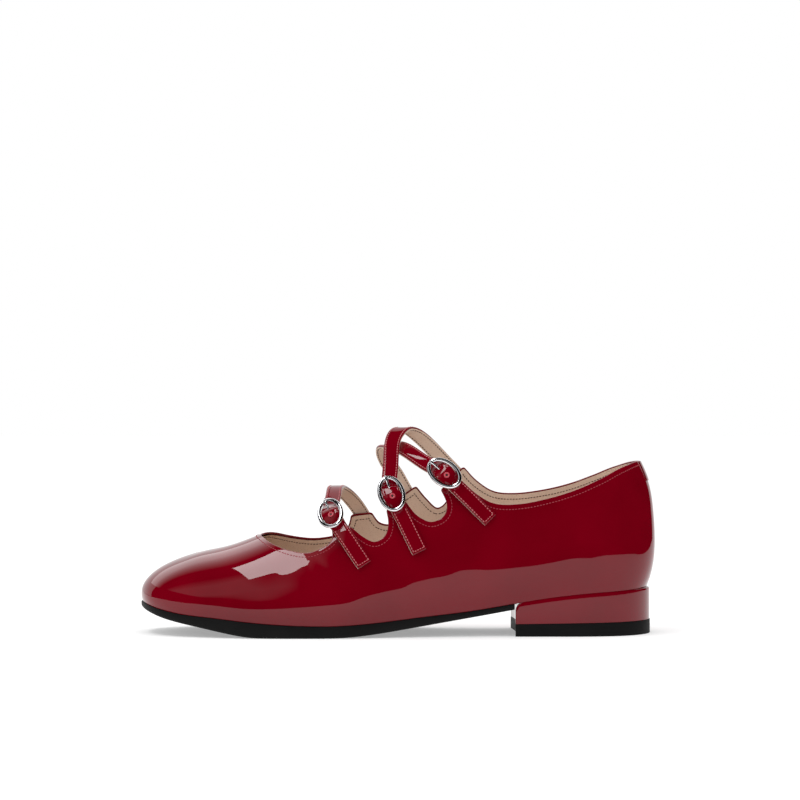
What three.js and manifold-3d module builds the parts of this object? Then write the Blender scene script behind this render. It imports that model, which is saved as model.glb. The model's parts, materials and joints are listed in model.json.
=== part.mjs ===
// Mary jane shoe for the left foot, in millimetres, +Z up. The toe points along -X, the outer side of
// the foot is -Y, and the origin is on the floor under the middle of the shoe.
// One table of sections gives the foot shape, and every piece is worked out from it.
import * as THREE from "three";
import { mergeVertices } from "three/addons/utils/BufferGeometryUtils.js";
import Module from "manifold-3d";

const wasm = await Module();
wasm.setup();

// ---------------------------------------------------------------- driving sizes
const WALL = 1.8; // leather and lining together
const GAP = 0.3; // free space between neighbouring pieces
const OUTER = -1; // side of the foot away from the other foot
const INNER = 1;

const INSOLE_THICK = 2.6;
const BREAST_X = 56; // front face of the heel
const BREAST_HOLLOW = 1.6; // how far the front face curves in
const LIFT_FRONT = 5.8; // heel tip, at the breast and at the back
const LIFT_BACK = 6.8;
const HEEL_CORNER = 3.4; // rounded top front corner of the heel
const HEEL_SPREAD = 0.5; // how far the heel stands out past the seat edge at its tip
const HEEL_SHRINK = 0.4; // and how far it stays inside that edge at its top
const HEEL_TOP_SHRINK = 1.0; // with a softened rim
const HEEL_REACH = 1.1; // how far the heel reaches back past the seat edge

const STRAP_WIDE = 7.5;
const STRAP_THICK = 1.6;
const WIRE = 0.8; // radius of the buckle wire
const BAR = 0.65; // radius of its centre bar
const PIN = 0.55; // radius of the buckle's tongue pin
const BUCKLE_LONG = 8.6; // half sizes of the oval, to the middle of the wire
const BUCKLE_WIDE = 5.6;
const BAR_REACH = 0.93; // where the bar dips, as a share of the oval's half width
const PIN_FROM = 0.6; // the tongue pin starts this far behind the bar
const LOOP_WIDE = 5;
const LOOP_THICK = 0.8;
const LOOP_FROM = 0.06; // the loop lies along this share of the way from bar to tail end
const LOOP_TO = 0.38;

// ---------------------------------------------------------------- the foot shape
// A row per section, from the toe tip (around 0) round one side to the back of the heel (around 282).
// around: way along the edge where the upper meets the sole; x: place of the section; mid and half:
// middle and half width of that edge; seat: its height; crownX and crown: where the section meets the
// other side on top; slope: fall of the top line to the toe; square: how square the shoulder is; belly
// and bellyUp: how far the side swells and how high up; nip: how far the top edge draws in.
const COLUMNS = ["around", "x", "mid", "half", "seat", "crownX", "crown", "slope", "square",
  "belly", "bellyUp", "nip"];
const SECTIONS = [
  [0, -124.5, 3.2, 0, 15.6, -98, 38.6, 0.3, 3, 0.8, 7, 0],
  [12.6, -122.6, 2.9, 12.2, 15.3, -97.3, 38.8, 0.3, 2.95, 1, 7, 0],
  [20, -119.5, 2.2, 18.6, 14.5, -96.3, 39, 0.3, 2.85, 1.2, 7, 0],
  [28, -114.4, 1.6, 24.1, 13.2, -94.6, 39.4, 0.3, 2.75, 1.4, 8, 0],
  [39.5, -104.3, 0.8, 29.9, 11.2, -91, 40.2, 0.28, 2.6, 1.6, 8, 0],
  [55, -89.3, -0.2, 34.4, 9.7, -82.5, 42.1, 0.28, 2.4, 1.8, 9, 0],
  [70, -74.3, -0.8, 37.3, 8.1, -71.5, 45.9, 0.32, 2.25, 1.9, 10, 0],
  [85, -59.3, -0.9, 38.7, 6.8, -59, 51.2, 0.4, 2.2, 2, 11, 0],
  [100, -44.3, -1, 39, 6.1, -44.3, 58.5, 0.5, 2.2, 2, 13, 0],
  [115, -29.3, -1.5, 37.5, 6, -29.3, 69, 0.7, 2.2, 2.2, 15, 0],
  [135.5, -9.3, -2.3, 33.8, 7.4, -9.3, 84, 0.7, 2.2, 2.6, 18, 0],
  [156, 10.7, -3.2, 29.3, 9.7, 10.7, 97, 0.5, 2.2, 3, 22, 0],
  [176, 30.7, -3.2, 26.3, 11.9, 30.7, 108, 0.4, 2.2, 3.4, 25, 0],
  [196, 50.7, -2.3, 25.8, 15, 50.7, 118, 0.2, 2.2, 3.6, 22, 0],
  [216, 70.7, -1.2, 26.8, 18.4, 70.7, 128, 0, 2.2, 3.5, 21, 0],
  [240, 95, -0.3, 26.7, 21, 92, 140, 0, 2.2, 3.3, 20, 0.6],
  [254, 107.9, 0, 22.8, 21.8, 95, 144, 0, 2.2, 3.3, 18, 1.6],
  [268, 117.6, 0, 13.1, 22.4, 95, 146, 0, 2.2, 3.8, 17, 2.8],
  [282, 121.3, 0, 0, 22.6, 95, 146, 0, 2.2, 4.4, 28, 3.4],
];
const BACK = SECTIONS.at(-1)[0];
const NIP_FROM = 42; // heights above the seat between which the top edge draws in
const NIP_TO = 61;

// Height of the sole's underside along the foot: flat under the ball, rising to toe and heel breast.
const UNDERSIDE = [
  [-126, 13.4], [-120, 11], [-112, 8.4], [-97, 5.2], [-80, 1.8], [-70, 0.3], [-60, 0], [-47, 0],
  [-34, 0], [-24, 0.3], [-12, 1.5], [2, 3.6], [22, 6.9], [42, 10.3], [58, 13.2],
];

// Edge of the opening seen from the side, from the throat back. A row with corner 1 is a sharp corner
// of a tab, and the rows between two corners lie on one smooth curve.
const OPENING = {
  [OUTER]: [
    [-66.8, 49.4, 0], [-63.4, 45.6, 0], [-55.5, 42, 0], [-45, 39.9, 0], [-37, 41.6, 0],
    [-31, 46, 0], [-31.2, 52.2, 1], [-22.9, 52.4, 1], [-17.4, 48, 0], [-11.3, 45.1, 0],
    [-5.7, 48, 0], [-4, 54, 0], [-5, 60.4, 1], [3.4, 64.2, 1], [8.4, 58, 0], [15.4, 54.4, 0],
    [22, 57, 0], [23.9, 63, 0], [20.9, 70.2, 1], [30, 74.1, 1], [37.4, 67.6, 0],
    [46, 63, 0], [58, 62.7, 0], [72, 65.4, 0], [85, 69.4, 0], [97, 74.6, 0], [108, 80.1, 0],
    [117, 83.3, 0], [126, 84.6, 1],
  ],
  [INNER]: [
    [-66.8, 49.4, 0], [-63.4, 48.2, 0], [-55.5, 46.4, 0], [-45, 44.4, 0], [-34, 45, 0],
    [-25.4, 49, 0], [-22.9, 56, 1], [-13.2, 57, 1], [-9.4, 52.2, 0], [-3.4, 51.2, 0],
    [1, 56.4, 0], [1.8, 65.2, 1], [8.9, 70.2, 1], [13.5, 64.6, 0], [19.5, 59.4, 0],
    [25, 64, 0], [25.8, 74, 1], [32.4, 79.8, 1], [38.4, 73.4, 0], [47, 67.8, 0], [58, 66.6, 0],
    [72, 68.2, 0], [85, 71.2, 0], [97, 75.5, 0], [108, 80.1, 0], [117, 83.3, 0],
    [126, 84.6, 1],
  ],
};

// Straps: the middle line over the foot from the inner tab to the buckle bar, as x, y, z and the lean
// of the strap's face, in degrees from upright to the outer side. Then the bar and the end of the free
// tail on the outer side, seen from the side.
const STRAPS = {
  front: {
    arch: [[-18.6, 26.6, 57.6, -78], [-22, 22.6, 62.6, -68], [-26.4, 15, 67.6, -50],
      [-29, 5, 70.2, -18], [-30.6, -6, 69.8, 22], [-31.2, -16, 65.6, 46]],
    bar: [-30.6, 56.1], tail: [-15.6, 34.4],
  },
  middle: {
    arch: [[28.4, 18.6, 77, -80], [23.4, 15.2, 82.2, -76], [16.4, 10.4, 89.6, -66],
      [9.6, 5.2, 95.8, -46], [3.2, -0.6, 98.8, -3], [-0.8, -6.8, 96.6, 42], [-2.8, -12.8, 91.2, 60],
      [-3.4, -19.4, 81.4, 69]],
    bar: [-2.5, 66.3], tail: [10.4, 40.4],
  },
  rear: {
    arch: [[3.4, 22, 68.6, -80], [-0.4, 20.6, 75.4, -76], [-4.8, 17, 82, -64],
      [-7, 10.6, 87.4, -40], [-5.4, 2, 90.4, 8], [0.6, -6.4, 90.2, 50], [7, -13.4, 86.8, 64],
      [14, -20.8, 82.2, 68]],
    bar: [22.5, 76.3], tail: [44.2, 55.4],
  },
};

const PATENT = new THREE.MeshStandardMaterial({ color: 0x7a0a18, roughness: 0.12, metalness: 0 });
const RUBBER = new THREE.MeshStandardMaterial({ color: 0x1c1b1b, roughness: 0.7, metalness: 0 });
const LINING = new THREE.MeshStandardMaterial({ color: 0xc9a790, roughness: 0.65, metalness: 0 });
const SILVER = new THREE.MeshStandardMaterial({ color: 0xc8c8cc, roughness: 0.18, metalness: 1 });

// ---------------------------------------------------------------- smooth columns
// Cubic spline through the rows. ends "level" keeps both ends without slope, "straight" without bend.
function spline(xs, ys, ends) {
  const last = xs.length - 1;
  const below = new Array(last + 1).fill(0);
  const on = new Array(last + 1).fill(1);
  const above = new Array(last + 1).fill(0);
  const right = new Array(last + 1).fill(0);
  const step = (i) => xs[i + 1] - xs[i];
  const rise = (i) => (ys[i + 1] - ys[i]) / step(i);
  for (let i = 1; i < last; i++) {
    below[i] = step(i - 1);
    on[i] = 2 * (step(i - 1) + step(i));
    above[i] = step(i);
    right[i] = 6 * (rise(i) - rise(i - 1));
  }
  if (ends === "level") {
    on[0] = 2 * step(0);
    above[0] = step(0);
    right[0] = 6 * rise(0);
    on[last] = 2 * step(last - 1);
    below[last] = step(last - 1);
    right[last] = -6 * rise(last - 1);
  }
  for (let i = 1; i <= last; i++) {
    const share = below[i] / on[i - 1];
    on[i] -= share * above[i - 1];
    right[i] -= share * right[i - 1];
  }
  const bend = new Array(last + 1).fill(0);
  bend[last] = right[last] / on[last];
  for (let i = last - 1; i >= 0; i--) bend[i] = (right[i] - above[i] * bend[i + 1]) / on[i];
  return (x) => {
    let i = 0;
    while (i < last - 1 && x > xs[i + 1]) i++;
    const h = step(i);
    const a = (xs[i + 1] - x) / h;
    const b = 1 - a;
    const curve = ((a ** 3 - a) * bend[i] + (b ** 3 - b) * bend[i + 1]) * h * h / 6;
    return a * ys[i] + b * ys[i + 1] + curve;
  };
}

const arounds = SECTIONS.map((row) => row[0]);
const section = {};
COLUMNS.slice(1).forEach((name, k) => {
  const values = SECTIONS.map((row) => row[k + 1]);
  section[name] = spline(arounds, values, name === "half" ? "straight" : "level");
});
const undersideCurve = spline(UNDERSIDE.map((row) => row[0]), UNDERSIDE.map((row) => row[1]), "straight");
const underside = (x) => Math.max(undersideCurve(x), 0);

// Edge between upper and sole, pushed outwards in plan by out.
function seatEdge(around, side, out = 0) {
  const place = (w) => new THREE.Vector2(section.x(w), section.mid(w) + side * section.half(w));
  const step = 0.05;
  const ahead = place(Math.min(around + step, BACK));
  const behind = place(Math.max(around - step, 0));
  const run = ahead.sub(behind);
  if (around < step) run.set(0, side);
  if (around > BACK - step) run.set(0, -side);
  run.normalize();
  const point = place(around);
  return new THREE.Vector3(point.x - side * run.y * out, point.y + side * run.x * out,
    section.seat(around));
}

// A point of the outer skin: around along the edge, rise from 0 at the sole to 1 on top.
function skin(around, rise, side) {
  const angle = rise * Math.PI / 2;
  const power = 2 / section.square(around);
  const inward = Math.max(Math.cos(angle), 0) ** power;
  const upward = Math.sin(angle) ** power;
  const edge = seatEdge(around, side);
  const crownX = section.crownX(around);
  const mid = section.mid(around);
  const x = crownX + (edge.x - crownX) * inward;
  const y = mid + (edge.y - mid) * inward;
  const top = section.crown(around) + section.slope(around) * (x - crownX);
  const up = (top - edge.z) * upward;
  const swell = up / section.bellyUp(around);
  const drawn = Math.max((up - NIP_FROM) / (NIP_TO - NIP_FROM), 0) ** 2;
  const out = section.belly(around) * swell * Math.exp(1 - swell) * Math.cos(angle)
    - section.nip(around) * drawn;
  const pushed = seatEdge(around, side, out);
  return new THREE.Vector3(x + pushed.x - edge.x, y + pushed.y - edge.y, edge.z + up);
}

// Unit vector out of the skin.
function skinNormal(around, rise, side) {
  if (rise > 0.999) return new THREE.Vector3(-section.slope(around), 0, 1).normalize();
  const w = THREE.MathUtils.clamp(around, 0.2, BACK - 0.2);
  const r = Math.max(rise, 0.02);
  const along = skin(w + 0.1, r, side).sub(skin(w - 0.1, r, side));
  const up = skin(w, r + 0.01, side).sub(skin(w, r - 0.01, side));
  const normal = along.cross(up).normalize().multiplyScalar(-side);
  if (around < 0.2 || around > BACK - 0.2) normal.y = 0;
  return normal.normalize();
}

// The skin's point at a place seen from the side, with its normal.
function skinAt(x, z, side) {
  let around = 150;
  let rise = 0.4;
  for (let round = 0; round < 40; round++) {
    const here = skin(around, rise, side);
    around = THREE.MathUtils.clamp(around + (x - here.x), 30, 238);
    rise = THREE.MathUtils.clamp(rise + (z - here.z) / 130, 0.01, 0.98);
  }
  return { point: skin(around, rise, side), normal: skinNormal(around, rise, side) };
}

// ---------------------------------------------------------------- meshes from rings
function closedMesh(points, faces) {
  const geometry = new THREE.BufferGeometry().setFromPoints(points);
  geometry.setIndex(faces.flat());
  const merged = mergeVertices(geometry, 1e-4);
  const index = merged.getIndex().array;
  const kept = [];
  for (let i = 0; i < index.length; i += 3) {
    const [a, b, c] = [index[i], index[i + 1], index[i + 2]];
    if (a !== b && b !== c && c !== a) kept.push(a, b, c);
  }
  merged.setIndex(kept);
  return merged;
}

// Rings of equal count joined in a row. The last ring joins the first where loop is true, and both
// ends are closed by a fan where it isn't.
function loft(rings, loop = false) {
  const size = rings[0].length;
  const points = rings.flat();
  const faces = [];
  const joins = loop ? rings.length : rings.length - 1;
  for (let i = 0; i < joins; i++) {
    const next = (i + 1) % rings.length;
    for (let j = 0; j < size; j++) {
      const k = (j + 1) % size;
      const [a, b, c, d] = [i * size + j, i * size + k, next * size + k, next * size + j];
      faces.push([a, b, c], [a, c, d]);
    }
  }
  if (!loop) {
    for (const [ring, flip] of [[0, true], [rings.length - 1, false]]) {
      const centre = new THREE.Vector3();
      rings[ring].forEach((point) => centre.addScaledVector(point, 1 / size));
      points.push(centre);
      for (let j = 0; j < size; j++) {
        const [a, b] = [ring * size + j, ring * size + (j + 1) % size];
        faces.push(flip ? [points.length - 1, b, a] : [points.length - 1, a, b]);
      }
    }
  }
  return facingOut(closedMesh(points, faces));
}

function volume(geometry) {
  const at = geometry.getAttribute("position");
  const index = geometry.getIndex().array;
  const corner = (i) => new THREE.Vector3().fromBufferAttribute(at, index[i]);
  let sum = 0;
  for (let i = 0; i < index.length; i += 3) {
    sum += corner(i).dot(corner(i + 1).cross(corner(i + 2))) / 6;
  }
  return sum;
}

function facingOut(geometry) {
  if (volume(geometry) < 0) geometry.setIndex(Array.from(geometry.getIndex().array).reverse());
  return geometry;
}

function solid(geometry) {
  const bare = geometry.clone();
  for (const name of Object.keys(bare.attributes)) if (name !== "position") bare.deleteAttribute(name);
  const merged = mergeVertices(bare, 1e-4);
  return new wasm.Manifold(new wasm.Mesh({
    numProp: 3,
    vertProperties: Float32Array.from(merged.getAttribute("position").array),
    triVerts: Uint32Array.from(merged.getIndex().array),
  }));
}

function shell(body) {
  const mesh = body.getMesh();
  const geometry = new THREE.BufferGeometry();
  geometry.setAttribute("position", new THREE.BufferAttribute(new Float32Array(mesh.vertProperties), 3));
  geometry.setIndex(Array.from(mesh.triVerts));
  return geometry;
}

// ---------------------------------------------------------------- upper
const SKIN_COLUMNS = 46; // facets along each side
const SKIN_ROWS = 15; // facets from sole to crown

// The whole foot form as a closed solid, drawn in by inset and let down by drop under its seat.
function footForm(inset, drop) {
  const rings = [];
  for (let i = 0; i <= SKIN_COLUMNS; i++) {
    const around = BACK * i / SKIN_COLUMNS;
    const half = (side) => {
      const line = [];
      for (let j = 0; j <= SKIN_ROWS; j++) {
        const rise = j / SKIN_ROWS;
        const point = skin(around, rise, side);
        point.addScaledVector(skinNormal(around, rise, side), -inset);
        if (j === 0) line.push(point.clone().setZ(section.seat(around) - drop));
        line.push(point);
      }
      return line;
    };
    rings.push([...half(OUTER), ...half(INNER).reverse()]);
  }
  return loft(rings);
}

// The edge of the opening on one side as a line of points seen from the side.
function openingLine(side) {
  const rows = OPENING[side];
  const line = [];
  let run = [];
  rows.forEach(([x, z, corner], i) => {
    run.push(new THREE.Vector2(x, z));
    if ((corner && run.length > 1) || i === rows.length - 1) {
      const count = run.length === 2 ? 1 : 5 * (run.length - 1);
      const points = new THREE.SplineCurve(run).getPoints(count);
      line.push(...(line.length ? points.slice(1) : points));
      run = [run.at(-1)];
    }
  });
  return line;
}

// All that is above the opening on one side.
function aboveOpening(side) {
  const far = 140;
  const line = openingLine(side);
  const outline = [new THREE.Vector2(line[0].x, far + 20), ...line,
    new THREE.Vector2(far, line.at(-1).y), new THREE.Vector2(far, far + 20)];
  const block = new THREE.ExtrudeGeometry(new THREE.Shape(outline), { depth: 70, bevelEnabled: false });
  block.rotateX(Math.PI / 2);
  block.translate(0, side === OUTER ? 0 : 70, 0);
  return solid(block);
}

function upper() {
  const outside = solid(footForm(0, 0));
  const inside = solid(footForm(WALL, 8));
  return shell(outside.subtract(inside).subtract(aboveOpening(OUTER)).subtract(aboveOpening(INNER)));
}

// ---------------------------------------------------------------- sole and heel
const SOLE_EDGE = 0.5; // how far the sole stands out past the seat edge
const SOLE_CHAMFER = 1.2;

function outsole() {
  const last = aroundOf(BREAST_X - GAP);
  const rings = [];
  const count = 40;
  for (let i = 0; i <= count; i++) {
    const around = last * i / count;
    const ring = [];
    for (const side of [OUTER, INNER]) {
      const top = seatEdge(around, side, SOLE_EDGE);
      top.z -= GAP;
      const floor = underside(top.x);
      const thin = Math.min(SOLE_CHAMFER, (top.z - floor) / 2);
      const share = Math.min(section.half(around) / (3 * SOLE_CHAMFER), 1);
      const bottom = seatEdge(around, side, SOLE_EDGE - SOLE_CHAMFER * share);
      const run = [top, top.clone().setZ(floor + thin), bottom.setZ(floor).setX(top.x)];
      ring.push(...(side === OUTER ? run : run.reverse()));
    }
    rings.push(ring);
  }
  return loft(rings);
}

function insole() {
  const inset = -(WALL + 2 * GAP);
  const rings = [];
  const count = 48;
  const from = 3;
  const to = BACK - 3;
  for (let i = 0; i <= count; i++) {
    const around = from + (to - from) * i / count;
    const low = [seatEdge(around, OUTER, inset), seatEdge(around, INNER, inset)];
    const high = low.map((point) => point.clone().setZ(point.z + INSOLE_THICK));
    rings.push([low[0], high[0], high[1], low[1]]);
  }
  return loft(rings);
}

// Height of the joint between heel block and tip.
const liftTop = (x) => LIFT_FRONT + (LIFT_BACK - LIFT_FRONT) * (x - BREAST_X) / (125 - BREAST_X);

// D-shaped outline of the heel, out from the seat edge, at a height from the floor given by level.
function heelRing(out, front, level) {
  const start = aroundOf(BREAST_X);
  const ring = [];
  const side = (which) => {
    const line = [];
    const count = 18;
    for (let i = 0; i <= count; i++) {
      const point = seatEdge(start + (BACK - start) * i / count, which, out);
      point.x = Math.max(point.x, front);
      line.push(point);
    }
    return line;
  };
  const outerLine = side(OUTER);
  const innerLine = side(INNER).reverse();
  ring.push(...outerLine, ...innerLine.slice(1));
  const across = 8;
  const from = innerLine.at(-1);
  const to = outerLine[0];
  for (let i = 1; i < across; i++) {
    const point = from.clone().lerp(to, i / across);
    point.x += BREAST_HOLLOW * Math.sin(Math.PI * i / across);
    ring.push(point);
  }
  const backX = section.x(BACK);
  for (const point of ring) {
    point.x += HEEL_REACH * (Math.max(point.x - BREAST_X, 0) / (backX - BREAST_X)) ** 2;
  }
  return ring.map((point) => point.setZ(level(point)));
}

function heel() {
  const rings = [];
  const steps = 5;
  for (let i = 0; i <= steps; i++) {
    const down = i * HEEL_CORNER / steps;
    const round = HEEL_CORNER - Math.sqrt(HEEL_CORNER ** 2 - (HEEL_CORNER - down) ** 2);
    const shrink = i === 0 ? HEEL_TOP_SHRINK : HEEL_SHRINK;
    rings.push(heelRing(-shrink, BREAST_X + round, (p) => section.seat(aroundOf(p.x)) - GAP - down));
  }
  rings.push(heelRing(HEEL_SPREAD, BREAST_X, (p) => liftTop(p.x) + GAP));
  return loft(rings);
}

// The way around at which the seat edge has this x, for the heights of the heel.
function aroundOf(x) {
  let low = 100;
  let high = BACK;
  for (let i = 0; i < 30; i++) {
    const middle = (low + high) / 2;
    if (section.x(middle) < x) low = middle;
    else high = middle;
  }
  return low;
}

function topLift() {
  const levels = [(p) => liftTop(p.x), () => 0];
  return loft(levels.map((level) => heelRing(HEEL_SPREAD, BREAST_X, level)));
}

// ---------------------------------------------------------------- straps and buckles
const OVAL_CLEAR = 0.45; // more room where the strap bends under the oval
const DOME = 2.1; // how far the strap rises over the bar
const DOME_LONG = 8.2; // and how far to each side of the bar
const TAIL_SHARES = [0, 0.15, 0.3, 0.45, 0.6, 0.8, 1]; // points of the tail from bar to end
const LOOP_TOP = GAP + LOOP_THICK;
const REST = LOOP_TOP + GAP + STRAP_THICK / 2; // middle of the strap above the tab's skin
const TAIL_REST = GAP + STRAP_THICK / 2;
const BAR_UP = DOME - STRAP_THICK / 2 - GAP - BAR; // the bar over the strap's level line
const OVAL_UP = STRAP_THICK / 2 + GAP + WIRE + OVAL_CLEAR; // the oval over the same line

// Middle line of a strap without its dome, and the line of its outward directions.
function strapLine(strap) {
  const [barX, barZ] = strap.bar;
  const [tailX, tailZ] = strap.tail;
  const points = strap.arch.map(([x, y, z]) => new THREE.Vector3(x, y, z));
  const outs = strap.arch.map(([, , , lean]) => {
    const angle = THREE.MathUtils.degToRad(lean);
    return new THREE.Vector3(0, -Math.sin(angle), Math.cos(angle));
  });
  for (const share of TAIL_SHARES) {
    const here = skinAt(barX + (tailX - barX) * share, barZ + (tailZ - barZ) * share, OUTER);
    const settle = THREE.MathUtils.smoothstep(share, 0.4, 0.85);
    const lift = THREE.MathUtils.lerp(REST, TAIL_REST, settle);
    points.push(here.point.clone().addScaledVector(here.normal, lift));
    outs.push(here.normal);
  }
  const line = new THREE.CatmullRomCurve3(points, false, "centripetal");
  line.arcLengthDivisions = 800;
  return { line, outs, bar: strap.arch.length };
}

// Where the strap is at a distance from its bar, with its directions.
function frameOn({ line, outs, bar }, distance) {
  const lengths = line.getLengths();
  const divisions = lengths.length - 1;
  const barLength = lengths[Math.round(divisions * bar / (outs.length - 1))];
  const share = THREE.MathUtils.clamp((barLength + distance) / lengths.at(-1), 0, 1);
  const t = line.getUtoTmapping(share);
  const span = Math.min(Math.floor(t * (outs.length - 1)), outs.length - 2);
  const out = outs[span].clone().lerp(outs[span + 1], t * (outs.length - 1) - span);
  const along = line.getTangent(t);
  const across = new THREE.Vector3().crossVectors(along, out).normalize();
  out.crossVectors(across, along).normalize();
  return { point: line.getPoint(t), along, out, across, before: barLength, all: lengths.at(-1) };
}

function place(frame, along, out, across) {
  return frame.point.clone().addScaledVector(frame.along, along).addScaledVector(frame.out, out)
    .addScaledVector(frame.across, across);
}

function strapBand(strap) {
  const route = strapLine(strap);
  const { before, all } = frameOn(route, 0);
  const rings = [];
  const count = Math.round(all / 1.9);
  for (let i = 0; i <= count; i++) {
    const distance = all * i / count - before;
    const frame = frameOn(route, distance);
    const near = Math.min(Math.abs(distance) / DOME_LONG, 1);
    const rise = DOME * (1 - near ** 2) ** 2;
    const [w, t] = [STRAP_WIDE / 2, STRAP_THICK / 2];
    rings.push([place(frame, 0, rise - t, -w), place(frame, 0, rise + t, -w),
      place(frame, 0, rise + t, w), place(frame, 0, rise - t, w)]);
  }
  return loft(rings);
}

// The strap's directions at the buckle, straightened over the buckle's length.
function barFrame(strap) {
  const route = strapLine(strap);
  const frame = frameOn(route, 0);
  const ahead = frameOn(route, BUCKLE_LONG).point;
  frame.along = ahead.sub(frameOn(route, -BUCKLE_LONG).point).normalize();
  frame.across.crossVectors(frame.along, frame.out).normalize();
  frame.out.crossVectors(frame.across, frame.along).normalize();
  return frame;
}

function tube(spots, radius, loop, sides = 8) {
  const rings = spots.map(({ centre, u, v }) => {
    const ring = [];
    for (let j = 0; j < sides; j++) {
      const angle = 2 * Math.PI * j / sides;
      ring.push(centre.clone().addScaledVector(u, radius * Math.cos(angle))
        .addScaledVector(v, radius * Math.sin(angle)));
    }
    return ring;
  });
  return loft(rings, loop);
}

function buckle(strap) {
  const frame = barFrame(strap);
  const oval = [];
  const count = 28;
  for (let i = 0; i < count; i++) {
    const angle = 2 * Math.PI * i / count;
    const [along, across] = [Math.cos(angle), Math.sin(angle)];
    const centre = place(frame, BUCKLE_LONG * along, OVAL_UP, BUCKLE_WIDE * across);
    const u = place(frame, BUCKLE_WIDE * along, 0, BUCKLE_LONG * across).sub(frame.point).normalize();
    oval.push({ centre, u, v: frame.out });
  }
  const bar = [-1, -BAR_REACH, BAR_REACH, 1].map((share) => ({
    centre: place(frame, 0, Math.abs(share) === 1 ? OVAL_UP : BAR_UP, share * BUCKLE_WIDE),
    u: frame.along,
    v: frame.out,
  }));
  return shell(solid(tube(oval, WIRE, true)).add(solid(tube(bar, BAR, false))));
}

function prong(strap) {
  const frame = barFrame(strap);
  const over = DOME + STRAP_THICK / 2 + GAP + PIN;
  const rest = OVAL_UP + WIRE + GAP + PIN;
  const spots = [[PIN_FROM, over], [-0.4 * BUCKLE_LONG, over], [-BUCKLE_LONG - 0.4, rest]];
  return tube(spots.map(([along, out]) => ({
    centre: place(frame, along, out, 0), u: frame.across, v: frame.out,
  })), PIN, false, 6);
}

function loop(strap) {
  const [barX, barZ] = strap.bar;
  const [tailX, tailZ] = strap.tail;
  const rings = [];
  const count = 5;
  for (let i = 0; i <= count; i++) {
    const share = LOOP_FROM + (LOOP_TO - LOOP_FROM) * i / count;
    const here = skinAt(barX + (tailX - barX) * share, barZ + (tailZ - barZ) * share, OUTER);
    const along = new THREE.Vector3(tailX - barX, 0, tailZ - barZ).normalize();
    const across = new THREE.Vector3().crossVectors(along, here.normal).normalize();
    const corner = (out, wide) => here.point.clone().addScaledVector(here.normal, out)
      .addScaledVector(across, wide);
    const w = LOOP_WIDE / 2;
    rings.push([corner(GAP, -w), corner(LOOP_TOP, -w), corner(LOOP_TOP, w), corner(GAP, w)]);
  }
  return loft(rings);
}

// ---------------------------------------------------------------- assembly
const group = new THREE.Group();
function add(name, geometry, material) {
  const mesh = new THREE.Mesh(geometry, material);
  mesh.name = name;
  group.add(mesh);
}

add("upper", upper(), PATENT);
add("insole", insole(), LINING);
add("outsole", outsole(), RUBBER);
add("heel", heel(), PATENT);
add("top_lift", topLift(), RUBBER);
for (const [name, strap] of Object.entries(STRAPS)) {
  add(`strap_${name}`, strapBand(strap), PATENT);
  add(`buckle_${name}`, buckle(strap), SILVER);
  add(`prong_${name}`, prong(strap), SILVER);
  add(`loop_${name}`, loop(strap), PATENT);
}

export default group;
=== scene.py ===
# %% [markdown]
# # A patent leather mary jane, from last to gloss
#
# This lesson dresses a packed left shoe. The frame gives the solid pieces at their real size, and we
# make the fine leather, lining, stitching, metal and rubber in their place. The camera, lamps and
# boards are set in metres. The shoe's own sizes are in millimetres, as a shoemaker writes them, and MM
# turns them into metres. +Z is up, the toe points along -X and the buckles are on the -Y side.

# %% Load the frame
import json
import math

import bpy
import numpy as np
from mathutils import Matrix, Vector

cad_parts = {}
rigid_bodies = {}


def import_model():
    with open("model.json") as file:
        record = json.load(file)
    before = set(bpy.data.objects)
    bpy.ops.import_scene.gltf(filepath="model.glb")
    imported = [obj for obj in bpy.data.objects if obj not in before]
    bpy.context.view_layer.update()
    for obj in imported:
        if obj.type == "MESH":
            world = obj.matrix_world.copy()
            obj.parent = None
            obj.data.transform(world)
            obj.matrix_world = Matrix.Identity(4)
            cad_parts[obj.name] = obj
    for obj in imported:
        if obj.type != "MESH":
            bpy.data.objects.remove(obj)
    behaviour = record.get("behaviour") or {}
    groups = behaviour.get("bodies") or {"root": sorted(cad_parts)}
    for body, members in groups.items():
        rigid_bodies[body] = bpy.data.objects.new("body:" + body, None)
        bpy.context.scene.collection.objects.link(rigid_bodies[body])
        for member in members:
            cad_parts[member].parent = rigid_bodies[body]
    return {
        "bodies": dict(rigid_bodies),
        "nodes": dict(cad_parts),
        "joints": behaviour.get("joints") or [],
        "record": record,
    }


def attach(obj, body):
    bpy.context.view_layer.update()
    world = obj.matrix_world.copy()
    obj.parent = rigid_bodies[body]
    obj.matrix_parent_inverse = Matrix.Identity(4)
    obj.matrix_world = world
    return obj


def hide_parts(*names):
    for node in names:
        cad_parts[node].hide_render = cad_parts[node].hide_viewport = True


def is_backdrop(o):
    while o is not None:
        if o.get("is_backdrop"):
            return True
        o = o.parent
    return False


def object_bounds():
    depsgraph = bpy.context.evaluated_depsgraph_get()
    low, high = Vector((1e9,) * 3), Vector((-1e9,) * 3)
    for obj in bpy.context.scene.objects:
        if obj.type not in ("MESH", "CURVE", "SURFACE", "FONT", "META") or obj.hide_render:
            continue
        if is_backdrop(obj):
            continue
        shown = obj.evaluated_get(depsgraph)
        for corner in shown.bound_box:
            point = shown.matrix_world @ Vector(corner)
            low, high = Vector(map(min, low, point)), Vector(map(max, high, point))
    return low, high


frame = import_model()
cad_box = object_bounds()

MM = 0.001
print("nodes:", sorted(frame["nodes"]))

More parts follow.
